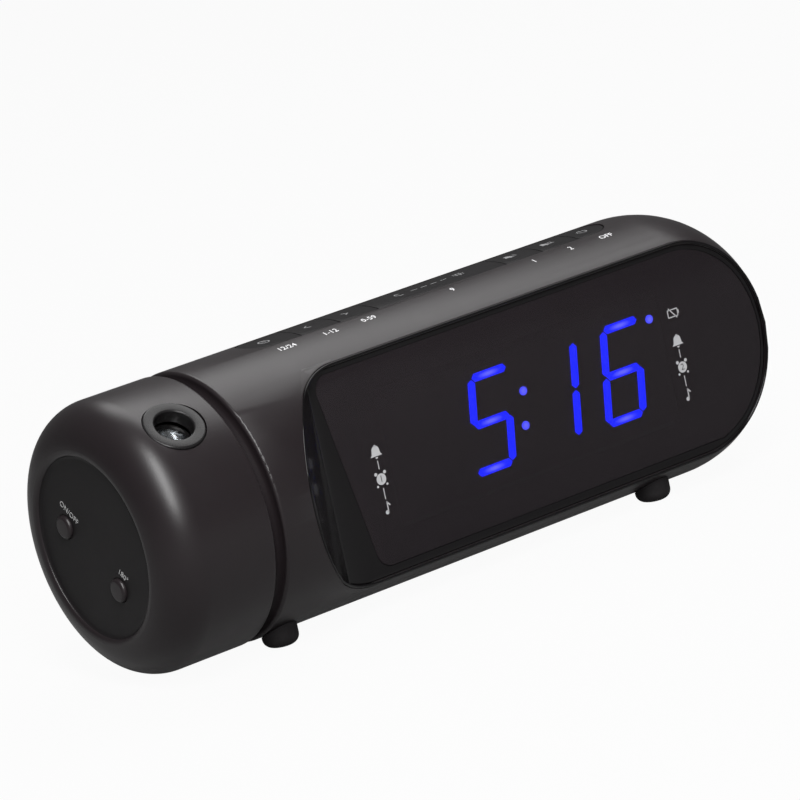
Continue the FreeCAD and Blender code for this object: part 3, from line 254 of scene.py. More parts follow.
def foot_rubber(name, colour):
    """Soft rubber, dull and a little dusty."""
    paint = Paint(name)
    fine = paint.noise(1500.0, 3.0)
    dust = paint.span(paint.noise(120.0, 4.0), 0.5, 0.75, 0.0, 0.4)
    tone = paint.blend(dust, colour, [value * 2.2 + 0.01 for value in colour])
    return paint.surface(
        Base_Color=tone,
        Roughness=0.72 + 0.1 * fine,
        Specular_IOR_Level=0.2,
        Normal=paint.bump(fine, 0.2, 0.00008),
    )


def brushed_metal(name, colour):
    """Bare metal with fine lines that run front to back."""
    paint = Paint(name)
    lines = paint.noise(1.0, 3.0, paint.mapped((900.0, 30.0, 900.0)))
    tone = paint.blend(lines, [value * 0.8 for value in colour], colour)
    return paint.surface(
        Base_Color=tone,
        Metallic=1.0,
        Roughness=0.25 + 0.2 * lines,
        Normal=paint.bump(lines, 0.1, 0.00004),
    )


def circuit_board(name):
    """Green solder mask with tracks that show through it."""
    paint = Paint(name)
    cells = paint.node(
        "ShaderNodeTexVoronoi",
        {"feature": "DISTANCE_TO_EDGE", "distance": "CHEBYCHEV"},
        {"Vector": paint.place, "Scale": 420.0},
        "Distance",
    )
    track = paint.span(cells, 0.04, 0.07, 1.0, 0.0)
    tone = paint.blend(track, (0.008, 0.07, 0.03), (0.02, 0.16, 0.06))
    return paint.surface(
        Base_Color=tone,
        Roughness=0.3 + 0.1 * track,
        Normal=paint.bump(track, 0.3, 0.00005),
    )


def woven_paper(name, colour):
    """Felt or speaker paper: short fibres lying every way."""
    paint = Paint(name)
    fibres = paint.noise(1.0, 4.0, paint.mapped((700.0, 1600.0, 1100.0)))
    tone = paint.blend(fibres, [value * 0.6 for value in colour], colour)
    return paint.surface(
        Base_Color=tone,
        Roughness=0.85 + 0.1 * fibres,
        Normal=paint.bump(fibres, 0.5, 0.00015),
    )


def lens_glass(name, colour, roughness):
    """Clear optics with a bright coating."""
    paint = Paint(name)
    haze = paint.noise(300.0, 2.0)
    return paint.surface(
        Base_Color=colour,
        Roughness=roughness + 0.02 * haze,
        IOR=1.65,
        Transmission_Weight=1.0,
        Coat_Weight=0.8,
        Coat_Roughness=0.04,
        Coat_IOR=1.8,
    )


# Modelling helpers

SHARP_ANGLE = 44.0
MERGE_DISTANCE = 2e-6
FLAT_ANGLE = 0.4

materials = {}


def mesh_from(made, name):
    """Turns a bmesh into a mesh and lets the bmesh go."""
    mesh = bpy.data.meshes.new(name)
    made.to_mesh(mesh)
    made.free()
    return mesh


def new_piece(name, mesh, body, slot, smooth_angle=35.0, finish=None):
    """Makes an object from a mesh that is already in place, and rides it on its body."""
    thing = bpy.data.objects.new(name, mesh)
    bpy.context.scene.collection.objects.link(thing)
    mesh.materials.clear()
    mesh.materials.append(finish or materials[slot])
    mesh.shade_smooth()
    mesh.set_sharp_from_angle(angle=math.radians(smooth_angle))
    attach(thing, body)
    return thing


def round_edges(made, edges, width, segments):
    """Bevels edges with the settings that every piece here shares."""
    bmesh.ops.bevel(
        made,
        geom=edges,
        affect="EDGES",
        offset=width,
        offset_type="OFFSET",
        segments=segments,
        profile=0.5,
        material=-1,
        clamp_overlap=True,
    )


def softened(node, body, slot, width, segments=3, past=None):
    """A copy of a CAD node, its loose triangles merged and its sharp edges past a place rounded."""
    made = bmesh.new()
    made.from_mesh(nodes[node].data)
    bmesh.ops.remove_doubles(made, verts=made.verts, dist=MERGE_DISTANCE)
    start = house_low.x - MM if past is None else past

    def free(edge):
        return max(vertex.co.x for vertex in edge.verts) > start

    bmesh.ops.dissolve_limit(
        made,
        angle_limit=math.radians(FLAT_ANGLE),
        verts=[vertex for vertex in made.verts if vertex.co.x > start],
        edges=[edge for edge in made.edges if free(edge)],
    )
    sharp = [
        edge
        for edge in made.edges
        if len(edge.link_faces) == 2
        and free(edge)
        and edge.calc_face_angle(0.0) > math.radians(SHARP_ANGLE)
    ]
    round_edges(made, sharp, width, segments)
    thing = new_piece(node + "_shaped", mesh_from(made, node), body, slot, SHARP_ANGLE)
    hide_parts(node)
    return thing


def arc(centre, radius, start, end, steps):
    """Points of an arc in the plane of a profile, whose first value runs along the tube."""
    points = []
    for index in range(steps + 1):
        angle = math.radians(start + (end - start) * index / steps)
        points.append((centre[0] + radius * math.cos(angle), centre[1] + radius * math.sin(angle)))
    return points


def bent(start, corner, end, steps):
    """Points of a smooth bend that leaves and meets the two straight sides of a corner."""
    points = []
    for index in range(steps + 1):
        t = index / steps
        weights = ((1 - t) ** 2, 2 * t * (1 - t), t**2)
        points.append(
            tuple(sum(w * p[axis] for w, p in zip(weights, (start, corner, end))) for axis in (0, 1))
        )
    return points


def turned_mesh(name, profile, steps=144, origin=None, axis=Vector((1, 0, 0)), closed=True):
    """Spins a profile of (along, radius) points about an axis through an origin."""
    origin = origin or Vector((0, 0, AXIS_HEIGHT))
    across = axis.orthogonal().normalized()
    made = bmesh.new()
    ring = [made.verts.new(origin + axis * x + across * r) for x, r in profile]
    pairs = list(zip(ring, ring[1:])) + ([(ring[-1], ring[0])] if closed else [])
    edges = [made.edges.new(pair) for pair in pairs]
    bmesh.ops.spin(
        made,
        geom=ring + edges,
        cent=origin,
        axis=axis,
        dvec=(0, 0, 0),
        angle=math.tau,
        steps=steps,
        use_merge=True,
        use_duplicate=False,
    )
    bmesh.ops.remove_doubles(made, verts=made.verts, dist=1e-7)
    bmesh.ops.recalc_face_normals(made, faces=made.faces)
    return mesh_from(made, name)


def carved(mesh, *cutters):
    """Cuts the cutters' meshes out of a mesh."""
    base = bpy.data.objects.new("carved", mesh)
    bpy.context.scene.collection.objects.link(base)
    tools = []
    for index, cutter in enumerate(cutters):
        tool = bpy.data.objects.new(f"cutter_{index}", cutter)
        bpy.context.scene.collection.objects.link(tool)
        tools.append(tool)
        rule = base.modifiers.new(f"cut_{index}", "BOOLEAN")
        rule.operation = "DIFFERENCE"
        rule.solver = "EXACT"
        rule.object = tool
    graph = bpy.context.evaluated_depsgraph_get()
    result = bpy.data.meshes.new_from_object(base.evaluated_get(graph))
    for thing in [base, *tools]:
        bpy.data.objects.remove(thing)
    return result


def rod_mesh(start, axis, radius, reach, steps):
    """A plain closed rod, used as a cutter."""
    made = bmesh.new()
    turn = axis.to_track_quat("Z", "Y").to_matrix().to_4x4()
    bmesh.ops.create_cone(
        made,
        cap_ends=True,
        segments=steps,
        radius1=radius,
        radius2=radius,
        depth=reach,
        matrix=Matrix.Translation(start + axis * reach / 2) @ turn,
    )
    return mesh_from(made, "rod")


# Printed marks, drawn flat and then laid on the part that carries them


def flat_shape(made, points):
    """A filled outline from (right, up) points."""
    corners = [made.verts.new((x, y, 0.0)) for x, y in points]
    return made.faces.new(corners)


def disc_points(x, y, radius, steps=24, start=0.0, end=360.0):
    """The corners of a disc or of a part of one."""
    if end - start >= 360.0:
        return arc((x, y), radius, start, end - 360.0 / steps, steps - 1)
    return arc((x, y), radius, start, end, steps)


def stroke(made, start, end, width):
    """A straight bar between two points."""
    along = (Vector(end) - Vector(start)).normalized() * width / 2
    side = Vector((-along.y, along.x))
    first, last = Vector(start), Vector(end)
    corners = [first - side, last - side, last + side, first + side]
    flat_shape(made, [(corner.x, corner.y) for corner in corners])


def ring_shape(made, x, y, outer, inner, steps=32, start=0.0, end=360.0):
    """A ring or a part of one, as a strip of quads."""
    angles = [math.radians(start + (end - start) * index / steps) for index in range(steps + 1)]
    rims = []
    for radius in (outer, inner):
        rims.append(
            [made.verts.new((x + radius * math.cos(a), y + radius * math.sin(a), 0)) for a in angles]
        )
    for index in range(steps):
        made.faces.new(
            (rims[0][index], rims[0][index + 1], rims[1][index + 1], rims[1][index])
        )


def curve_mesh(data):
    """The mesh of a curve or of characters, with nothing of the curve left behind."""
    thing = bpy.data.objects.new("curve", data)
    bpy.context.scene.collection.objects.link(thing)
    graph = bpy.context.evaluated_depsgraph_get()
    mesh = bpy.data.meshes.new_from_object(thing.evaluated_get(graph))
    bpy.data.objects.remove(thing)
    return mesh


def text_mesh(made, words, size, x=0.0, y=0.0):
    """Adds plain characters, centred on a point."""
    data = bpy.data.curves.new("characters", "FONT")
    data.body = words
    data.size = size
    data.align_x = "CENTER"
    data.align_y = "CENTER"
    data.resolution_u = 3
    mesh = curve_mesh(data)
    mesh.transform(Matrix.Translation((x, y, 0)))
    made.from_mesh(mesh)


INK_LIFT = 0.03 * MM
INK_REACH = 0.02


def laid_on(made, node, place, right, up, name, body, slot, ink, lift=INK_LIFT):
    """Lays flat shapes on a CAD node's surface and gives them the thickness of an ink film."""
    right, up = Vector(right).normalized(), Vector(up).normalized()
    out = right.cross(up)
    source = nodes[node].data
    tree = BVHTree.FromPolygons(
        [vertex.co.copy() for vertex in source.vertices],
        [tuple(polygon.vertices) for polygon in source.polygons],
    )
    bmesh.ops.remove_doubles(made, verts=made.verts, dist=1e-6)
    bmesh.ops.triangulate(made, faces=made.faces)
    for vertex in made.verts:
        start = place + right * vertex.co.x + up * vertex.co.y + out * INK_REACH
        hit = tree.ray_cast(start, -out)[0]
        if hit is None:
            raise RuntimeError(f"{name} doesn't lie on {node}")
        vertex.co = hit + out * lift
    skin = bmesh.ops.extrude_face_region(made, geom=made.faces[:])
    moved = [item for item in skin["geom"] if isinstance(item, bmesh.types.BMVert)]
    bmesh.ops.translate(made, verts=moved, vec=-out * 2 * lift)
    bmesh.ops.recalc_face_normals(made, faces=made.faces)
    return new_piece(name, mesh_from(made, name), body, slot, 30.0, ink)


# Settings and finishes


def length(name, description, default):
    """A size that a user may change."""
    return bpy.props.FloatProperty(
        name=name, description=description, default=default, unit="LENGTH", precision=5
    )


def amount(name, description, default):
    """A plain number that a user may change."""
    return bpy.props.FloatProperty(name=name, description=description, default=default)


def tint(name, description, default):
    """A colour that a user may change."""
    return bpy.props.FloatVectorProperty(
        name=name, description=description, default=default, subtype="COLOR", size=3, min=0.0, max=1.0
    )


class FinishSettings(bpy.types.PropertyGroup):
    housing: tint("Housing", "Colour of the tube and of the head", (0.0085, 0.0062, 0.0071))
    bezel: tint("Frame", "Colour of the glossy frame round the display", (0.003, 0.0026, 0.0029))
    digits: tint("Digits", "Colour of the lit digits", (0.0, 0.008, 1.0))
    digit_strength: amount("Digit strength", "How strongly the digits shine", 17.0)


FINISHES = {
    "housing_plastic": (moulded_plastic, "satin_housing", "housing", 0.36, 0.27),
    "bezel_plastic": (gloss_plastic, "gloss_bezel", "bezel", 0.12, 0.15),
    "window_acrylic": (smoked_acrylic, "smoked_window", (0.0135, 0.011, 0.0125), 0.72),
    "digit_light": (lit_segment, "blue_segments", "digits", "digit_strength"),
    "module_plastic": (moulded_plastic, "module_black", (0.006, 0.006, 0.006), 0.6),
    "key_plastic": (moulded_plastic, "key_satin", (0.007, 0.0065, 0.007), 0.45, 0.08),
    "circuit_board": (circuit_board, "green_board"),
    "switch_plastic": (moulded_plastic, "switch_black", (0.02, 0.02, 0.02), 0.5),
    "screw_steel": (brushed_metal, "screw_steel", (0.55, 0.56, 0.58)),
    "spring_steel": (brushed_metal, "spring_steel", (0.62, 0.62, 0.6)),
    "cell_steel": (brushed_metal, "cell_steel", (0.72, 0.72, 0.7)),
    "foot_rubber": (foot_rubber, "foot_rubber", (0.006, 0.005, 0.0056)),
    "speaker_steel": (brushed_metal, "speaker_steel", (0.08, 0.08, 0.08)),
    "speaker_paper": (woven_paper, "speaker_paper", (0.03, 0.03, 0.03)),
    "inlet_plastic": (moulded_plastic, "inlet_black", (0.015, 0.015, 0.015), 0.4),
    "friction_felt": (woven_paper, "grey_felt", (0.3, 0.3, 0.3)),
    "cable_sleeve": (moulded_plastic, "cable_sleeve", (0.03, 0.03, 0.03), 0.5),
    "ring_plastic": (moulded_plastic, "ring_satin", (0.007, 0.0065, 0.0068), 0.28, 0.2),
    "lens_glass": (lens_glass, "clear_lens", (0.85, 0.9, 0.95), 0.16),
    "film_glass": (lens_glass, "time_film", (0.2, 0.25, 0.3), 0.1),
    "lamp_resin": (gloss_plastic, "lamp_resin", (0.8, 0.75, 0.5), 0.09, 0.5),
}


def set_value(settings, value):
    """A finish's value: the setting that a name stands for, or else the value itself."""
    if not isinstance(value, str):
        return value
    chosen = getattr(settings, value)
    return chosen if isinstance(chosen, float) else tuple(chosen)


def finish_nodes(settings):
    """Gives each CAD node the finish of its slot in the record."""
    made = {}
    for slot, (maker, name, *values) in FINISHES.items():
        made[slot] = maker(name, *(set_value(settings, value) for value in values))
    for row in frame["record"]["subparts"]:
        mesh = nodes[row["node"]].data
        mesh.materials.clear()
        mesh.materials.append(made[row["material_slot"]])
    return made


# Lit digits


class DigitSettings(bpy.types.PropertyGroup):
    height: length(
        "Digit height", "From the middle of the top bar to the middle of the bottom bar", 22.4 * MM
    )
    width: length("Digit width", "Between the middles of the two columns", 10.8 * MM)
    bar: length("Bar width", "Width of one lit bar", 1.95 * MM)
    slant: bpy.props.FloatProperty(
        name="Slant", description="How far the digits lean", default=math.radians(9.5), subtype="ANGLE"
    )


DIGIT_LEFTS = {"5": 2.1 * MM, "1": 22.7 * MM, "6": 43.1 * MM}
DIGIT_BARS = {"5": "afgcd", "1": "bc", "6": "afgecd"}
BAR_PLACES = {
    "a": ((0, 1), (1, 1)),
    "g": ((0, 0), (1, 0)),
    "d": ((0, -1), (1, -1)),
    "f": ((0, 1), (0, 0)),
    "b": ((1, 1), (1, 0)),
    "e": ((0, 0), (0, -1)),
    "c": ((1, 0), (1, -1)),
}
COLON_X = 17.5 * MM
COLON_RISE = 4.1 * MM
PM_DOT = (59.4 * MM, 10.1 * MM)
DOT_RADIUS = 1.05 * MM
BAR_END_GAP = 0.28 * MM
DIGIT_RISE = 0.15 * MM
DOT_HEART = 0.5


def bar_with_heart(made, layer, corners, places):
    """One flat lit shape; the places say how near each corner lies to the bright heart."""
    face = flat_shape(made, corners)
    for loop, place in zip(face.loops, places):
        loop[layer].uv = place


LEVEL_BARS = "agd"
BAR_SHOULDER = 0.8
NO_HEART = 3.0


def draw_bar(made, layer, start, end, half, bright):
    """One bar with pointed ends, bright in the middle or the same all along."""
    along = (end - start).normalized()
    side = Vector((-along.y, along.x)) * half
    first = start + along * BAR_END_GAP
    last = end - along * BAR_END_GAP
    shoulder = along * half * BAR_SHOULDER
    away = 0.0 if bright else NO_HEART
    corners = [
        (first, (-1.3, away)),
        (first + shoulder - side, (-1, away - 1)),
        (last - shoulder - side, (1, away - 1)),
        (last, (1.3, away)),
        (last - shoulder + side, (1, away + 1)),
        (first + shoulder + side, (-1, away + 1)),
    ]
    bar_with_heart(made, layer, *zip(*corners))


class CLOCK_OT_digits(bpy.types.Operator):
    """Makes the lit digits with their pointed bars, the colon and the dot"""

    bl_idname = "clock.digits"
    bl_label = "Digits"

    def execute(self, context):
        settings = context.scene.clock_digits
        low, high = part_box("digit_segments")
        lean = math.tan(settings.slant)
        made = bmesh.new()
        layer = made.loops.layers.uv.new("UVMap")
        for digit, left in DIGIT_LEFTS.items():
            for letter in DIGIT_BARS[digit]:
                ends = []
                for column, level in BAR_PLACES[letter]:
                    height = level * settings.height / 2
                    ends.append(Vector((left + column * settings.width + height * lean, height)))
                draw_bar(made, layer, *ends, settings.bar / 2, letter in LEVEL_BARS)
        dots = [(COLON_X + rise * lean, rise) for rise in (COLON_RISE, -COLON_RISE)] + [PM_DOT]
        for x, y in dots:
            rim = disc_points(x, y, DOT_RADIUS)
            reach = DOT_RADIUS / DOT_HEART
            places = [((px - x) / reach, (py - y) / reach) for px, py in rim]
            for index, corner in enumerate(rim):
                after = (index + 1) % len(rim)
                bar_with_heart(
                    made, layer, [(x, y), corner, rim[after]], [(0, 0), places[index], places[after]]
                )
        bmesh.ops.remove_doubles(made, verts=made.verts, dist=1e-7)
        upright = Matrix.Rotation(math.pi / 2, 4, "X")
        place = Matrix.Translation((0, low.y, AXIS_HEIGHT + DIGIT_RISE))
        bmesh.ops.transform(made, matrix=place @ upright, verts=made.verts)
        skin = bmesh.ops.extrude_face_region(made, geom=made.faces[:])
        moved = [item for item in skin["geom"] if isinstance(item, bmesh.types.BMVert)]
        bmesh.ops.translate(made, verts=moved, vec=(0, high.y - low.y, 0))
        bmesh.ops.recalc_face_normals(made, faces=made.faces)
        digits = new_piece("lit_digits", mesh_from(made, "lit_digits"), "clock_body", "digit_light")
        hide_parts("digit_segments")
        return {"FINISHED"}


# Signs on the window

ICON_COLUMNS = (("left", -28.1 * MM, "1"), ("right", 65.2 * MM, "2"))
BATTERY_Z = 10.1 * MM
BELL_Z = 3.2 * MM
CLOCK_Z = -3.5 * MM
NOTE_Z = -10.4 * MM
BELL_SIZE = 3.2 * MM
CLOCK_SIZE = 3.6 * MM
LINK_WIDTH = 0.22 * MM


def draw_bell(made, x, y, size):
    """A bell with its clapper and its knob."""
    dome = disc_points(x, y + 0.1 * size, 0.34 * size, 14, 0.0, 180.0)
    left = [(x - 0.4 * size, y - 0.2 * size), (x - 0.54 * size, y - 0.34 * size)]
    right = [(2 * x - px, py) for px, py in reversed(left)]
    flat_shape(made, dome + left + right)
    flat_shape(made, disc_points(x, y - 0.42 * size, 0.12 * size, 10, 180.0, 360.0))
    stroke(made, (x, y + 0.38 * size), (x, y + 0.5 * size), 0.14 * size)


def draw_alarm_clock(made, x, y, size):
    """A round clock with two bells and two feet."""
    flat_shape(made, disc_points(x, y, 0.38 * size, 32))
    for side in (-1, 1):
        flat_shape(made, disc_points(x + side * 0.36 * size, y + 0.4 * size, 0.12 * size, 12))
        flat_shape(made, disc_points(x + side * 0.38 * size, y - 0.42 * size, 0.08 * size, 12))


def draw_note(made, x, y, size):
    """A musical note."""
    flat_shape(made, disc_points(x - 0.08 * size, y - 0.35 * size, 0.16 * size, 16))
    stroke(made, (x + 0.04 * size, y - 0.35 * size), (x + 0.04 * size, y + 0.45 * size), 0.09 * size)
    stroke(made, (x + 0.02 * size, y + 0.42 * size), (x + 0.28 * size, y + 0.12 * size), 0.1 * size)


def draw_battery(made, x, y, size):
    """A crossed-out battery."""
    long, tall, line = 0.42 * size, 0.25 * size, 0.07 * size
    for level in (-tall, tall):
        stroke(made, (x - long, y + level), (x + long, y + level), line)
    for side in (-long, long):
        stroke(made, (x + side, y - tall), (x + side, y + tall), line)
    stroke(made, (x + long, y), (x + long * 1.28, y), tall)
    stroke(made, (x - long * 0.75, y + tall * 1.5), (x + long * 0.75, y - tall * 1.5), line)


class CLOCK_OT_panel_icons(bpy.types.Operator):
    """Prints the small signs on the display's window"""

    bl_idname = "clock.panel_icons"
    bl_label = "Panel icons"

    def execute(self, context):
        ink = printed_ink("panel_ink", (0.36, 0.36, 0.37))
        dark_ink = printed_ink("panel_dark_ink", (0.02, 0.02, 0.02))
        panel = Vector((0, PANEL_Y, AXIS_HEIGHT))
        flat = ((1, 0, 0), (0, 0, 1))
        for name, x, number in ICON_COLUMNS:
            made = bmesh.new()
            draw_bell(made, x, BELL_Z, BELL_SIZE)
            draw_alarm_clock(made, x, CLOCK_Z, CLOCK_SIZE)
            draw_note(made, x, NOTE_Z, BELL_SIZE)
            stroke(made, (x, BELL_Z - 2.2 * MM), (x, CLOCK_Z + 2.4 * MM), LINK_WIDTH)
            stroke(made, (x, CLOCK_Z - 2.2 * MM), (x, NOTE_Z + 2.0 * MM), LINK_WIDTH)
            if name == "right":
                draw_battery(made, x + 0.3 * MM, BATTERY_Z, CLOCK_SIZE)
            names = (f"panel_icons_{name}", "clock_body", "window_acrylic")
            laid_on(made, "display_window", panel, *flat, *names, ink)
            made = bmesh.new()
            text_mesh(made, number, 2.3 * MM, x, CLOCK_Z)
            names = (f"panel_number_{name}", "clock_body", "window_acrylic")
            laid_on(made, "display_window", panel, *flat, *names, dark_ink, 2 * INK_LIFT)
        return {"FINISHED"}


# Keys


def draw_key_mark(made, key):
    """The sign on the top of one key."""
    line = 0.3 * MM
    if key == "clock":
        ring_shape(made, 0, 0, 1.5 * MM, 1.2 * MM)
        stroke(made, (0, 0), (0, 0.9 * MM), line)
        stroke(made, (0, 0), (0.7 * MM, 0), line)
    elif key in ("hour", "minute"):
        side = -1 if key == "hour" else 1
        tip = (side * 0.75 * MM, 0)
        for level in (-1, 1):
            stroke(made, (-side * 0.55 * MM, level * 1.1 * MM), tip, line)
    elif key == "snooze":
        centre = Vector((9 * MM, 0))
        ring_shape(made, -centre.x, 0, 1.3 * MM, 1.0 * MM, 24, 60.0, 300.0)
        ring_shape(made, centre.x, 0, 0.9 * MM, 0.6 * MM)
        for index in range(8):
            spoke = Vector((math.cos(index * math.tau / 8), math.sin(index * math.tau / 8)))
            stroke(made, centre + spoke * 1.15 * MM, centre + spoke * 1.55 * MM, 0.25 * MM)
        for x in (-4.5, -1.5, 1.5, 4.5):
            stroke(made, ((x - 0.9) * MM, 0), ((x + 0.9) * MM, 0), line)
    elif key == "alarm_off":
        ring_shape(made, 0, 0, 1.4 * MM, 1.1 * MM, 24, 125.0, 415.0)
        stroke(made, (0, 0.3 * MM), (0, 1.6 * MM), line)
    else:
        draw_bell(made, -0.7 * MM, 0, 2.8 * MM)
        text_mesh(made, "1" if key == "alarm_one" else "2", 2.6 * MM, 1.3 * MM, 0)


KEY_LABELS = {
    "clock": "12/24",
    "hour": "1-12",
    "minute": "0-59",
    "snooze": "9",
    "alarm_one": "1",
    "alarm_two": "2",
    "alarm_off": "OFF",
}


class KeySettings(bpy.types.PropertyGroup):
    rounding: length("Key rounding", "Radius of the keys' edges", 0.3 * MM)
    label_size: length("Label size", "Height of the characters by the keys", 2.3 * MM)
    label_reach: length("Label reach", "How far before the tube's middle the labels stand", 9.4 * MM)


class CLOCK_OT_keys(bpy.types.Operator):
    """Rounds the seven keys and prints a sign on each and a label in front of it"""

    bl_idname = "clock.keys"
    bl_label = "Keys"

    def execute(self, context):
        settings = context.scene.clock_keys
        mark_ink = printed_ink("key_ink", (0.2, 0.2, 0.205))
        label_ink = printed_ink("label_ink", (0.62, 0.62, 0.63))
        flat = ((1, 0, 0), (0, 1, 0))
        for key, label in KEY_LABELS.items():
            node = "key_" + key
            low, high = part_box(node)
            middle = (low.x + high.x) / 2
            softened(node, key + "_key", "key_plastic", settings.rounding)
            made = bmesh.new()
            draw_key_mark(made, key)
            place = Vector((middle, 0, high.z))
            laid_on(made, node, place, *flat, f"{key}_mark", key + "_key", "key_plastic", mark_ink)
            made = bmesh.new()
            text_mesh(made, label, settings.label_size)
            place = Vector((middle, -settings.label_reach, high.z))
            names = (f"{key}_label", "clock_body", "housing_plastic")
            laid_on(made, "main_housing", place, *flat, *names, label_ink)
        return {"FINISHED"}


# Projector head

HEAD_LEAN = math.radians(38.5)
head_side = Vector((0, math.cos(HEAD_LEAN), math.sin(HEAD_LEAN)))
head_up = Vector((0, -math.sin(HEAD_LEAN), math.cos(HEAD_LEAN)))


class HeadSettings(bpy.types.PropertyGroup):
    wall: length("Wall", "Thickness of the head's shell", 2.2 * MM)
    shoulder: length("Shoulder", "Radius of the head's rounded end", 10.3 * MM)
    lip: length("Lip", "Rounding of the edge round the set-back end", 1.0 * MM)
    open_edge: length("Open edge", "Rounding of the edge beside the groove", 0.9 * MM)
    dish: length("Dish", "Rounding where the set-back end meets its wall", 0.9 * MM)


OPENING_STEP = 0.7 * MM
DISH_GAP = 0.03 * MM
LENS_HOLE_RADIUS = 7.55 * MM
BUTTON_HOLE_RADIUS = 3.05 * MM
NUB_RADIUS = 2.9 * MM
STEM_RADIUS = 4.1 * MM
NUB_ROUNDING = 0.9
BUTTON_LABELS = (("projection_button", "ON/OFF"), ("flip_button", "180\u00b0"))
BUTTON_BODIES = (("projection_button", "projection_push"), ("flip_button", "flip_push"))
BUTTON_LABEL_SIZE = 2.1 * MM
BUTTON_LABEL_RISE = 4.6 * MM
COLLAR_TOP = 32.85 * MM
COLLAR_RADIUS = 7.4 * MM
COLLAR_BORE = 4.6 * MM
COLLAR_EDGE = 0.45 * MM
COLLAR_DEPTH = 3.4 * MM


def middle_of(node):
    """The middle of a CAD node's box."""
    low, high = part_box(node)
    return (low + high) / 2


def lens_origin():
    """Where the lens's axis leaves the head's axis."""
    return Vector((middle_of("focus_ring").x, 0, AXIS_HEIGHT))


def end_opening(settings):
    """Radius of the opening in the head's flat end."""
    return TUBE_RADIUS - settings.shoulder - OPENING_STEP


def make_head_skin(settings):
    """The head's shell: rounded end, sloping lip, rounded open edge and the hole for the lens."""
    wall, lip, edge = settings.wall, settings.lip, settings.open_edge
    tip, mouth = head_low.x, head_high.x
    opening = end_opening(settings)
    turn = (tip + settings.shoulder, TUBE_RADIUS - settings.shoulder)
    profile = arc((mouth - edge, TUBE_RADIUS - edge), edge, 0, 90, 6)
    profile += arc(turn, settings.shoulder, 90, 175, 28)
    slope_top = (tip, opening + 0.35 * lip)
    profile += bent((tip + 0.04 * MM, profile[-1][1]), slope_top, (tip + 0.62 * lip, opening), 10)
    profile += [(tip + wall, opening)]
    profile += arc(turn, settings.shoulder - wall, 180, 90, 12)
    profile += [(mouth, TUBE_RADIUS - wall)]
    hole_start = lens_origin() + head_up * TUBE_RADIUS / 2
    hole = rod_mesh(hole_start, head_up, LENS_HOLE_RADIUS, TUBE_RADIUS, 96)
    shell = carved(turned_mesh("head_skin", profile), hole)
    skin = new_piece("head_skin", shell, "projector_head", "housing_plastic")
    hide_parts("head_shell")


def make_end_dish(settings):
    """The set-back end with its softly rounded rim and two holes for the buttons."""
    tip, lip, dish = head_low.x, settings.lip, settings.dish
    # Painted shade: the end face gets a darker, less shiny copy of the housing plastic, which stands in
    # for the shade it lies in.
    finish = moulded_plastic("end_satin", (0.006, 0.0052, 0.0056), 0.42, shine=0.1)
    face, back = cap_low.x, cap_high.x
    rim = end_opening(settings) - DISH_GAP
    profile = [(face, 0.0)]
    profile += bent((face, rim - 1.3 * dish), (face, rim - 0.28 * dish), (tip + 0.64 * lip, rim), 10)
    profile += [(back, rim), (back, 0.0)]
    mesh = turned_mesh("end_dish", profile, closed=False)
    holes = []
    for button, _ in BUTTON_LABELS:
        middle = middle_of(button)
        start = Vector((tip - settings.wall, middle.y, middle.z))
        holes.append(rod_mesh(start, Vector((1, 0, 0)), BUTTON_HOLE_RADIUS, 4 * settings.wall, 48))
    end = new_piece(
        "end_dish", carved(mesh, *holes), "projector_head", "housing_plastic", 35.0, finish
    )
    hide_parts("head_end_cap")


def print_button_labels():
    """The words above the two buttons."""
    ink = printed_ink("head_ink", (0.4, 0.4, 0.4))
    for button, words in BUTTON_LABELS:
        middle = middle_of(button)
        made = bmesh.new()
        text_mesh(made, words, BUTTON_LABEL_SIZE, 0, BUTTON_LABEL_RISE)
        place = Vector((cap_low.x - 5 * MM, middle.y, middle.z))
        names = (f"{button}_label", "projector_head", "housing_plastic")
        laid_on(made, "head_end_cap", place, -head_side, head_up, *names, ink)


def make_button_domes():
    """The two buttons, each a domed nub on a wider stem."""
    for button, body in BUTTON_BODIES:
        low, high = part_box(button)
        middle = middle_of(button)
        edge = NUB_ROUNDING * (cap_low.x - low.x)
        profile = [(low.x, 0.0)] + arc((low.x + edge, NUB_RADIUS - edge), edge, 180, 90, 10)
        profile += [(cap_high.x, NUB_RADIUS), (cap_high.x, STEM_RADIUS)]
        profile += [(high.x, STEM_RADIUS), (high.x, 0.0)]
        origin = Vector((0, middle.y, middle.z))
        mesh = turned_mesh(button + "_dome", profile, 64, origin, closed=False)
        finish = materials["housing_plastic"]
        dome = new_piece(button + "_dome", mesh, body, "key_plastic", 30.0, finish)
        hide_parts(button)


def make_focus_collar():
    """The ring round the lens, with both of its upper edges rounded."""
    edge, top = COLLAR_EDGE, COLLAR_TOP
    profile = arc((top - edge, COLLAR_RADIUS - edge), edge, 90, 0, 6)
    profile += arc((top - edge, COLLAR_BORE + edge), edge, 0, -90, 6)
    profile += [(top - COLLAR_DEPTH, COLLAR_BORE), (top - COLLAR_DEPTH, COLLAR_RADIUS)]
    mesh = turned_mesh("focus_collar", profile, 96, lens_origin(), head_up)
    collar = new_piece("focus_collar", mesh, "focus_control", "ring_plastic", 50.0)
    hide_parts("focus_ring")


class CLOCK_OT_head(bpy.types.Operator):
    """Turns the head's shell, its set-back end, the buttons and the ring round the lens"""

    bl_idname = "clock.head"
    bl_label = "Projector head"

    def execute(self, context):
        settings = context.scene.clock_head
        make_head_skin(settings)
        make_end_dish(settings)
        print_button_labels()
        make_button_domes()
        make_focus_collar()
        return {"FINISHED"}


# Edge of the display's opening

RAMP_START_X = head_high.x + 11.6 * MM
RAMP_SLOPE = 1 / math.tan(math.radians(43.6))
RAMP_SHARE = 0.815
END_SWEEP = 29.8 * MM
END_TURN_X = house_high.x - END_SWEEP
END_FLAT = 3.2 * MM
FLAT_Y = -PANEL_Y


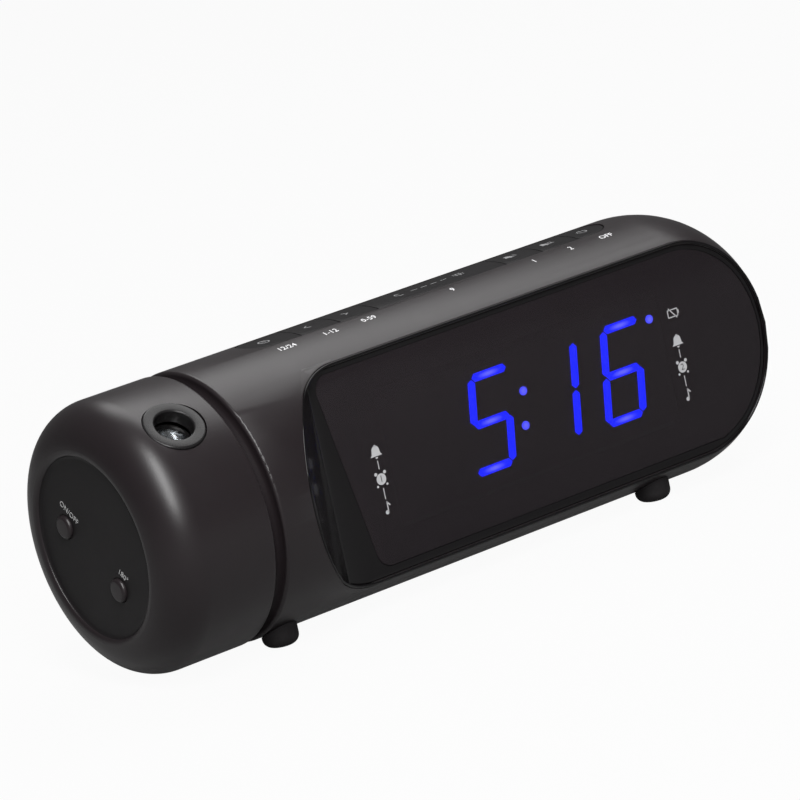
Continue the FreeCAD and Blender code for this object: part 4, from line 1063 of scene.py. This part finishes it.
def ramp_edge(radius, height):
    """Where the slanting end of the display's opening meets a tube of this radius."""
    depth = math.sqrt(radius**2 - height**2)
    return RAMP_START_X + (TUBE_RADIUS - depth) * RAMP_SLOPE, height


def opening_corner(inset, bend):
    """The ramp's side, the corner and the top side of the opening, on a tube set in by an inset."""
    radius = TUBE_RADIUS - inset
    top = math.sqrt(radius**2 - FLAT_Y**2)
    corner = ramp_edge(radius, top)
    return ramp_edge(radius, top * RAMP_SHARE), corner, (corner[0] + bend, top)


def on_skin(point, inset=0.0):
    """A point of the opening's plan, placed on the tube's skin."""
    x, height = point
    across = TUBE_RADIUS
    if x > END_TURN_X:
        across = END_FLAT + math.sqrt(END_SWEEP**2 - (x - END_TURN_X) ** 2)
    depth = math.sqrt((across - inset) ** 2 - height**2)
    return Vector((x, -depth, AXIS_HEIGHT + height))


def opening_outline(inset, bend):
    """The closed edge of the display's opening, as points on the skin."""
    radius = TUBE_RADIUS - inset
    start, corner, end = opening_corner(inset, bend)
    ramp = [ramp_edge(radius, start[1] * index / 12) for index in range(12)]
    upper = ramp + bent(start, corner, end, 16)
    sweep = END_SWEEP - inset
    last = math.acos((FLAT_Y - END_FLAT) / sweep)
    for index in range(25):
        turn = last * index / 24
        around = END_FLAT + sweep * math.cos(turn)
        upper.append(
            (END_TURN_X + sweep * math.sin(turn), math.sqrt(max(around**2 - FLAT_Y**2, 0.0)))
        )
    lower = [(x, -height) for x, height in reversed(upper[1:-1])]
    return [on_skin(point, inset) for point in upper + lower]


class DisplaySettings(bpy.types.PropertyGroup):
    bend: length(
        "Corner bend", "How far the rounding of the two left corners runs along the long sides", 8.1 * MM
    )
    rim_inset: length("Rim inset", "How far under the tube's skin the glossy rim lies", 0.4 * MM)
    rim_radius: length("Rim radius", "Radius of the thin glossy rim round the display", 0.36 * MM)


CORNER_STEPS = 24
CORNER_SPREAD = 0.45 * MM
CORNER_LIFT = Vector((0, -0.015 * MM, 0))
CORNER_DEPTH = Vector((0, 2.2 * MM, 0))
CORNER_EDGE = 0.25 * MM


def make_corner(settings, side, name):
    """Fills one sharp corner of the opening with a piece whose free edge is a smooth bend."""
    start, corner, end = opening_corner(0.0, settings.bend)
    inner = bent(start, corner, end, CORNER_STEPS)
    outer_start = (start[0] - CORNER_SPREAD, start[1] + 0.5 * CORNER_SPREAD)
    outer_corner = (corner[0] - 0.6 * CORNER_SPREAD, corner[1] + CORNER_SPREAD)
    outer_end = (end[0], end[1] + CORNER_SPREAD)
    outer = []
    for index in range(CORNER_STEPS + 1):
        t = 2 * index / CORNER_STEPS
        first, last = (outer_start, outer_corner) if t <= 1 else (outer_corner, outer_end)
        share = t if t <= 1 else t - 1
        outer.append(tuple(a + (b - a) * share for a, b in zip(first, last)))
    made = bmesh.new()
    rows = []
    for points, drop in (
        (outer, CORNER_DEPTH),
        (outer, CORNER_LIFT),
        (inner, CORNER_LIFT),
        (inner, CORNER_DEPTH),
    ):
        row = [on_skin((x, side * height)) + drop for x, height in points]
        rows.append([made.verts.new(place) for place in row])
    for first, last in zip(rows, rows[1:] + rows[:1]):
        for index in range(CORNER_STEPS):
            made.faces.new((first[index], first[index + 1], last[index + 1], last[index]))
    for index in (0, CORNER_STEPS):
        made.faces.new([row[index] for row in rows])
    bmesh.ops.recalc_face_normals(made, faces=made.faces)
    free_edge = [edge for edge in made.edges if all(vertex in rows[2] for vertex in edge.verts)]
    round_edges(made, free_edge, CORNER_EDGE, 3)
    piece = f"{name}_corner"
    new_piece(piece, mesh_from(made, piece), "clock_body", "housing_plastic", 50.0)


def make_rim(settings):
    """The thin glossy rim, a closed curve made a mesh."""
    data = bpy.data.curves.new("rim", "CURVE")
    data.dimensions = "3D"
    data.bevel_depth = settings.rim_radius
    data.bevel_resolution = 3
    line = data.splines.new("POLY")
    places = opening_outline(settings.rim_inset, settings.bend)
    line.points.add(len(places) - 1)
    for point, place in zip(line.points, places):
        point.co = (*place, 1.0)
    line.use_cyclic_u = True
    new_piece("display_rim", curve_mesh(data), "clock_body", "bezel_plastic", 60.0)


class CLOCK_OT_display_edge(bpy.types.Operator):
    """Rounds the two left corners of the display's opening and lays a thin glossy rim round it"""

    bl_idname = "clock.display_edge"
    bl_label = "Display edge"

    def execute(self, context):
        settings = context.scene.clock_display
        make_corner(settings, 1, "upper")
        make_corner(settings, -1, "lower")
        make_rim(settings)
        return {"FINISHED"}


# Fixed tube

FILLET_END_X = head_high.x + 3.75 * MM


class CLOCK_OT_body(bpy.types.Operator):
    """Rounds the sharp edges of the fixed tube, its rear cover and battery door, the display's frame and
    the window
    """

    bl_idname = "clock.body"
    bl_label = "Body"

    def execute(self, context):
        softened("main_housing", "clock_body", "housing_plastic", 0.35 * MM, past=FILLET_END_X)
        softened("rear_cover", "clock_body", "housing_plastic", 0.2 * MM, 2)
        softened("battery_door", "clock_body", "housing_plastic", 0.2 * MM, 2)
        softened("display_bezel", "clock_body", "bezel_plastic", 0.3 * MM)
        softened("display_window", "clock_body", "window_acrylic", 0.2 * MM, 2)
        return {"FINISHED"}


# Stage


class ClockStageSettings(bpy.types.PropertyGroup):
    lens_length: amount("Lens length", "The camera's focal length in millimetres", 218.7)
    floor_size: length("Floor size", "The side of the floor", 8.0)
    overhead_power: amount("Overhead light", "Power of the large lamp above and behind", 9.0)
    strip_power: amount("Strip light", "Power of the tall narrow lamp by the camera", 30.0)
    glossy_share: amount("Backdrop in gloss", "Share of the backdrop that gloss shows", 0.08)
    room_light: amount("Room light", "Strength of the even light all round", 0.08)


CAMERA_PLACE = Vector((-0.64288, -0.9413, 0.2751))
CAMERA_RIGHT = Vector((0.7857, -0.5831, -0.2065))
CAMERA_UP = Vector((0.2845, 0.0442, 0.9576))
CAMERA_BACK = Vector((-0.5493, -0.8112, 0.2006))


BACKDROP_SHARE = 0.95
STRIP_TARGET_X = -0.09


def seen_directly(paint, glossy_share):
    """How much a ray sees the backdrop: nearly all of it when seen directly, part of it in gloss."""
    kinds = ("Camera", "Glossy", "Transmission")
    look = {kind: paint.node("ShaderNodeLightPath", {}, {}, f"Is {kind} Ray") for kind in kinds}
    direct = BACKDROP_SHARE * (look["Camera"] + look["Transmission"])
    total = direct + glossy_share * look["Glossy"]
    return paint.node("ShaderNodeMath", {"operation": "MINIMUM"}, [total, 1.0])


def lamp_at(name, azimuth, elevation, reach, size, power, target):
    """An area lamp at a direction and a distance from what it lights."""
    turn, rise = math.radians(azimuth), math.radians(elevation)
    way = Vector((math.cos(turn) * math.cos(rise), math.sin(turn) * math.cos(rise), math.sin(rise)))
    data = bpy.data.lights.new(name, "AREA")
    data.shape = "RECTANGLE"
    data.size, data.size_y = size
    data.energy = power
    lamp = bpy.data.objects.new(name, data)
    bpy.context.scene.collection.objects.link(lamp)
    lamp.location = Vector(target) + way * reach
    lamp.rotation_euler = (Vector(target) - lamp.location).to_track_quat("-Z", "Y").to_euler()


class CLOCK_OT_stage(bpy.types.Operator):
    """Sets the floor, the lamps, the world and the camera"""

    bl_idname = "clock.stage"
    bl_label = "Stage"

    def execute(self, context):
        settings = context.scene.clock_stage
        scene = context.scene
        scene.view_settings.view_transform = "Standard"

        made = bmesh.new()
        bmesh.ops.create_grid(made, x_segments=1, y_segments=1, size=settings.floor_size / 2)
        mesh = mesh_from(made, "floor")
        floor = bpy.data.objects.new("floor", mesh)
        scene.collection.objects.link(floor)
        paint = Paint("pale_floor")
        cloud = paint.noise(3.0, 2.0)
        tone = paint.blend(cloud, (0.27, 0.27, 0.27), (0.3, 0.3, 0.3))
        matt = paint.node("ShaderNodeBsdfDiffuse", {}, {"Color": tone})
        bright = paint.node("ShaderNodeEmission", {}, {"Color": (1.0, 1.0, 1.0), "Strength": 1.0})
        seen = seen_directly(paint, settings.glossy_share)
        paint.finish(paint.node("ShaderNodeMixShader", {}, {0: seen, 1: matt, 2: bright}))
        mesh.materials.append(paint.material)

        world = bpy.data.worlds.new("studio")
        scene.world = world
        world.use_nodes = True
        air = Paint.for_tree(world.node_tree)
        dim = air.node(
            "ShaderNodeBackground", {}, {"Color": (1.0, 1.0, 1.0), "Strength": settings.room_light}
        )
        white = air.node("ShaderNodeBackground", {}, {"Color": (1.0, 1.0, 1.0), "Strength": 1.0})
        seen = seen_directly(air, settings.glossy_share)
        mixed = air.node("ShaderNodeMixShader", {}, {0: seen, 1: dim, 2: white})
        air.node("ShaderNodeOutputWorld", {}, {"Surface": mixed})

        middle = (0.0, 0.0, AXIS_HEIGHT)
        head = (STRIP_TARGET_X, 0.0, AXIS_HEIGHT)
        lamp_at("overhead", 35, 60, 1.1, (1.1, 0.55), settings.overhead_power, middle)
        lamp_at("strip", -113, 43, 1.2, (0.3, 1.1), settings.strip_power, head)

        data = bpy.data.cameras.new("camera")
        data.lens = settings.lens_length
        data.sensor_width = 36.0
        data.clip_start = 0.05
        data.clip_end = 50.0
        camera = bpy.data.objects.new("camera", data)
        scene.collection.objects.link(camera)
        columns = (CAMERA_RIGHT, CAMERA_UP, CAMERA_BACK)
        turn = Matrix([[column[row] for column in columns] for row in range(3)])
        camera.matrix_world = Matrix.Translation(CAMERA_PLACE) @ turn.to_4x4()
        scene.camera = camera
        return {"FINISHED"}


class CLOCK_OT_finishes(bpy.types.Operator):
    """Gives every carried-over part its finish"""

    bl_idname = "clock.finishes"
    bl_label = "Finishes"

    def execute(self, context):
        materials.update(finish_nodes(context.scene.clock_finishes))
        return {"FINISHED"}


# Add-on

OPERATORS = (
    CLOCK_OT_finishes,
    CLOCK_OT_body,
    CLOCK_OT_display_edge,
    CLOCK_OT_digits,
    CLOCK_OT_panel_icons,
    CLOCK_OT_keys,
    CLOCK_OT_head,
    CLOCK_OT_stage,
)


class CLOCK_PT_sidebar(bpy.types.Panel):
    bl_idname = "CLOCK_PT_sidebar"
    bl_label = "Projection alarm clock"
    bl_space_type = "VIEW_3D"
    bl_region_type = "UI"
    bl_category = "Clock"

    def draw(self, context):
        for operator in OPERATORS:
            self.layout.operator(operator.bl_idname)


SETTINGS = {
    "clock_finishes": FinishSettings,
    "clock_display": DisplaySettings,
    "clock_digits": DigitSettings,
    "clock_keys": KeySettings,
    "clock_head": HeadSettings,
    "clock_stage": ClockStageSettings,
}


def register():
    for group in SETTINGS.values():
        bpy.utils.register_class(group)
    for name, group in SETTINGS.items():
        setattr(bpy.types.Scene, name, bpy.props.PointerProperty(type=group))
    for operator in OPERATORS:
        bpy.utils.register_class(operator)
    bpy.utils.register_class(CLOCK_PT_sidebar)


def unregister():
    bpy.utils.unregister_class(CLOCK_PT_sidebar)
    for operator in reversed(OPERATORS):
        bpy.utils.unregister_class(operator)
    for name, group in SETTINGS.items():
        delattr(bpy.types.Scene, name)
        bpy.utils.unregister_class(group)


def main():
    register()
    for operator in OPERATORS:
        group, action = operator.bl_idname.split(".")
        getattr(getattr(bpy.ops, group), action)()


if __name__ == "__main__":
    main()
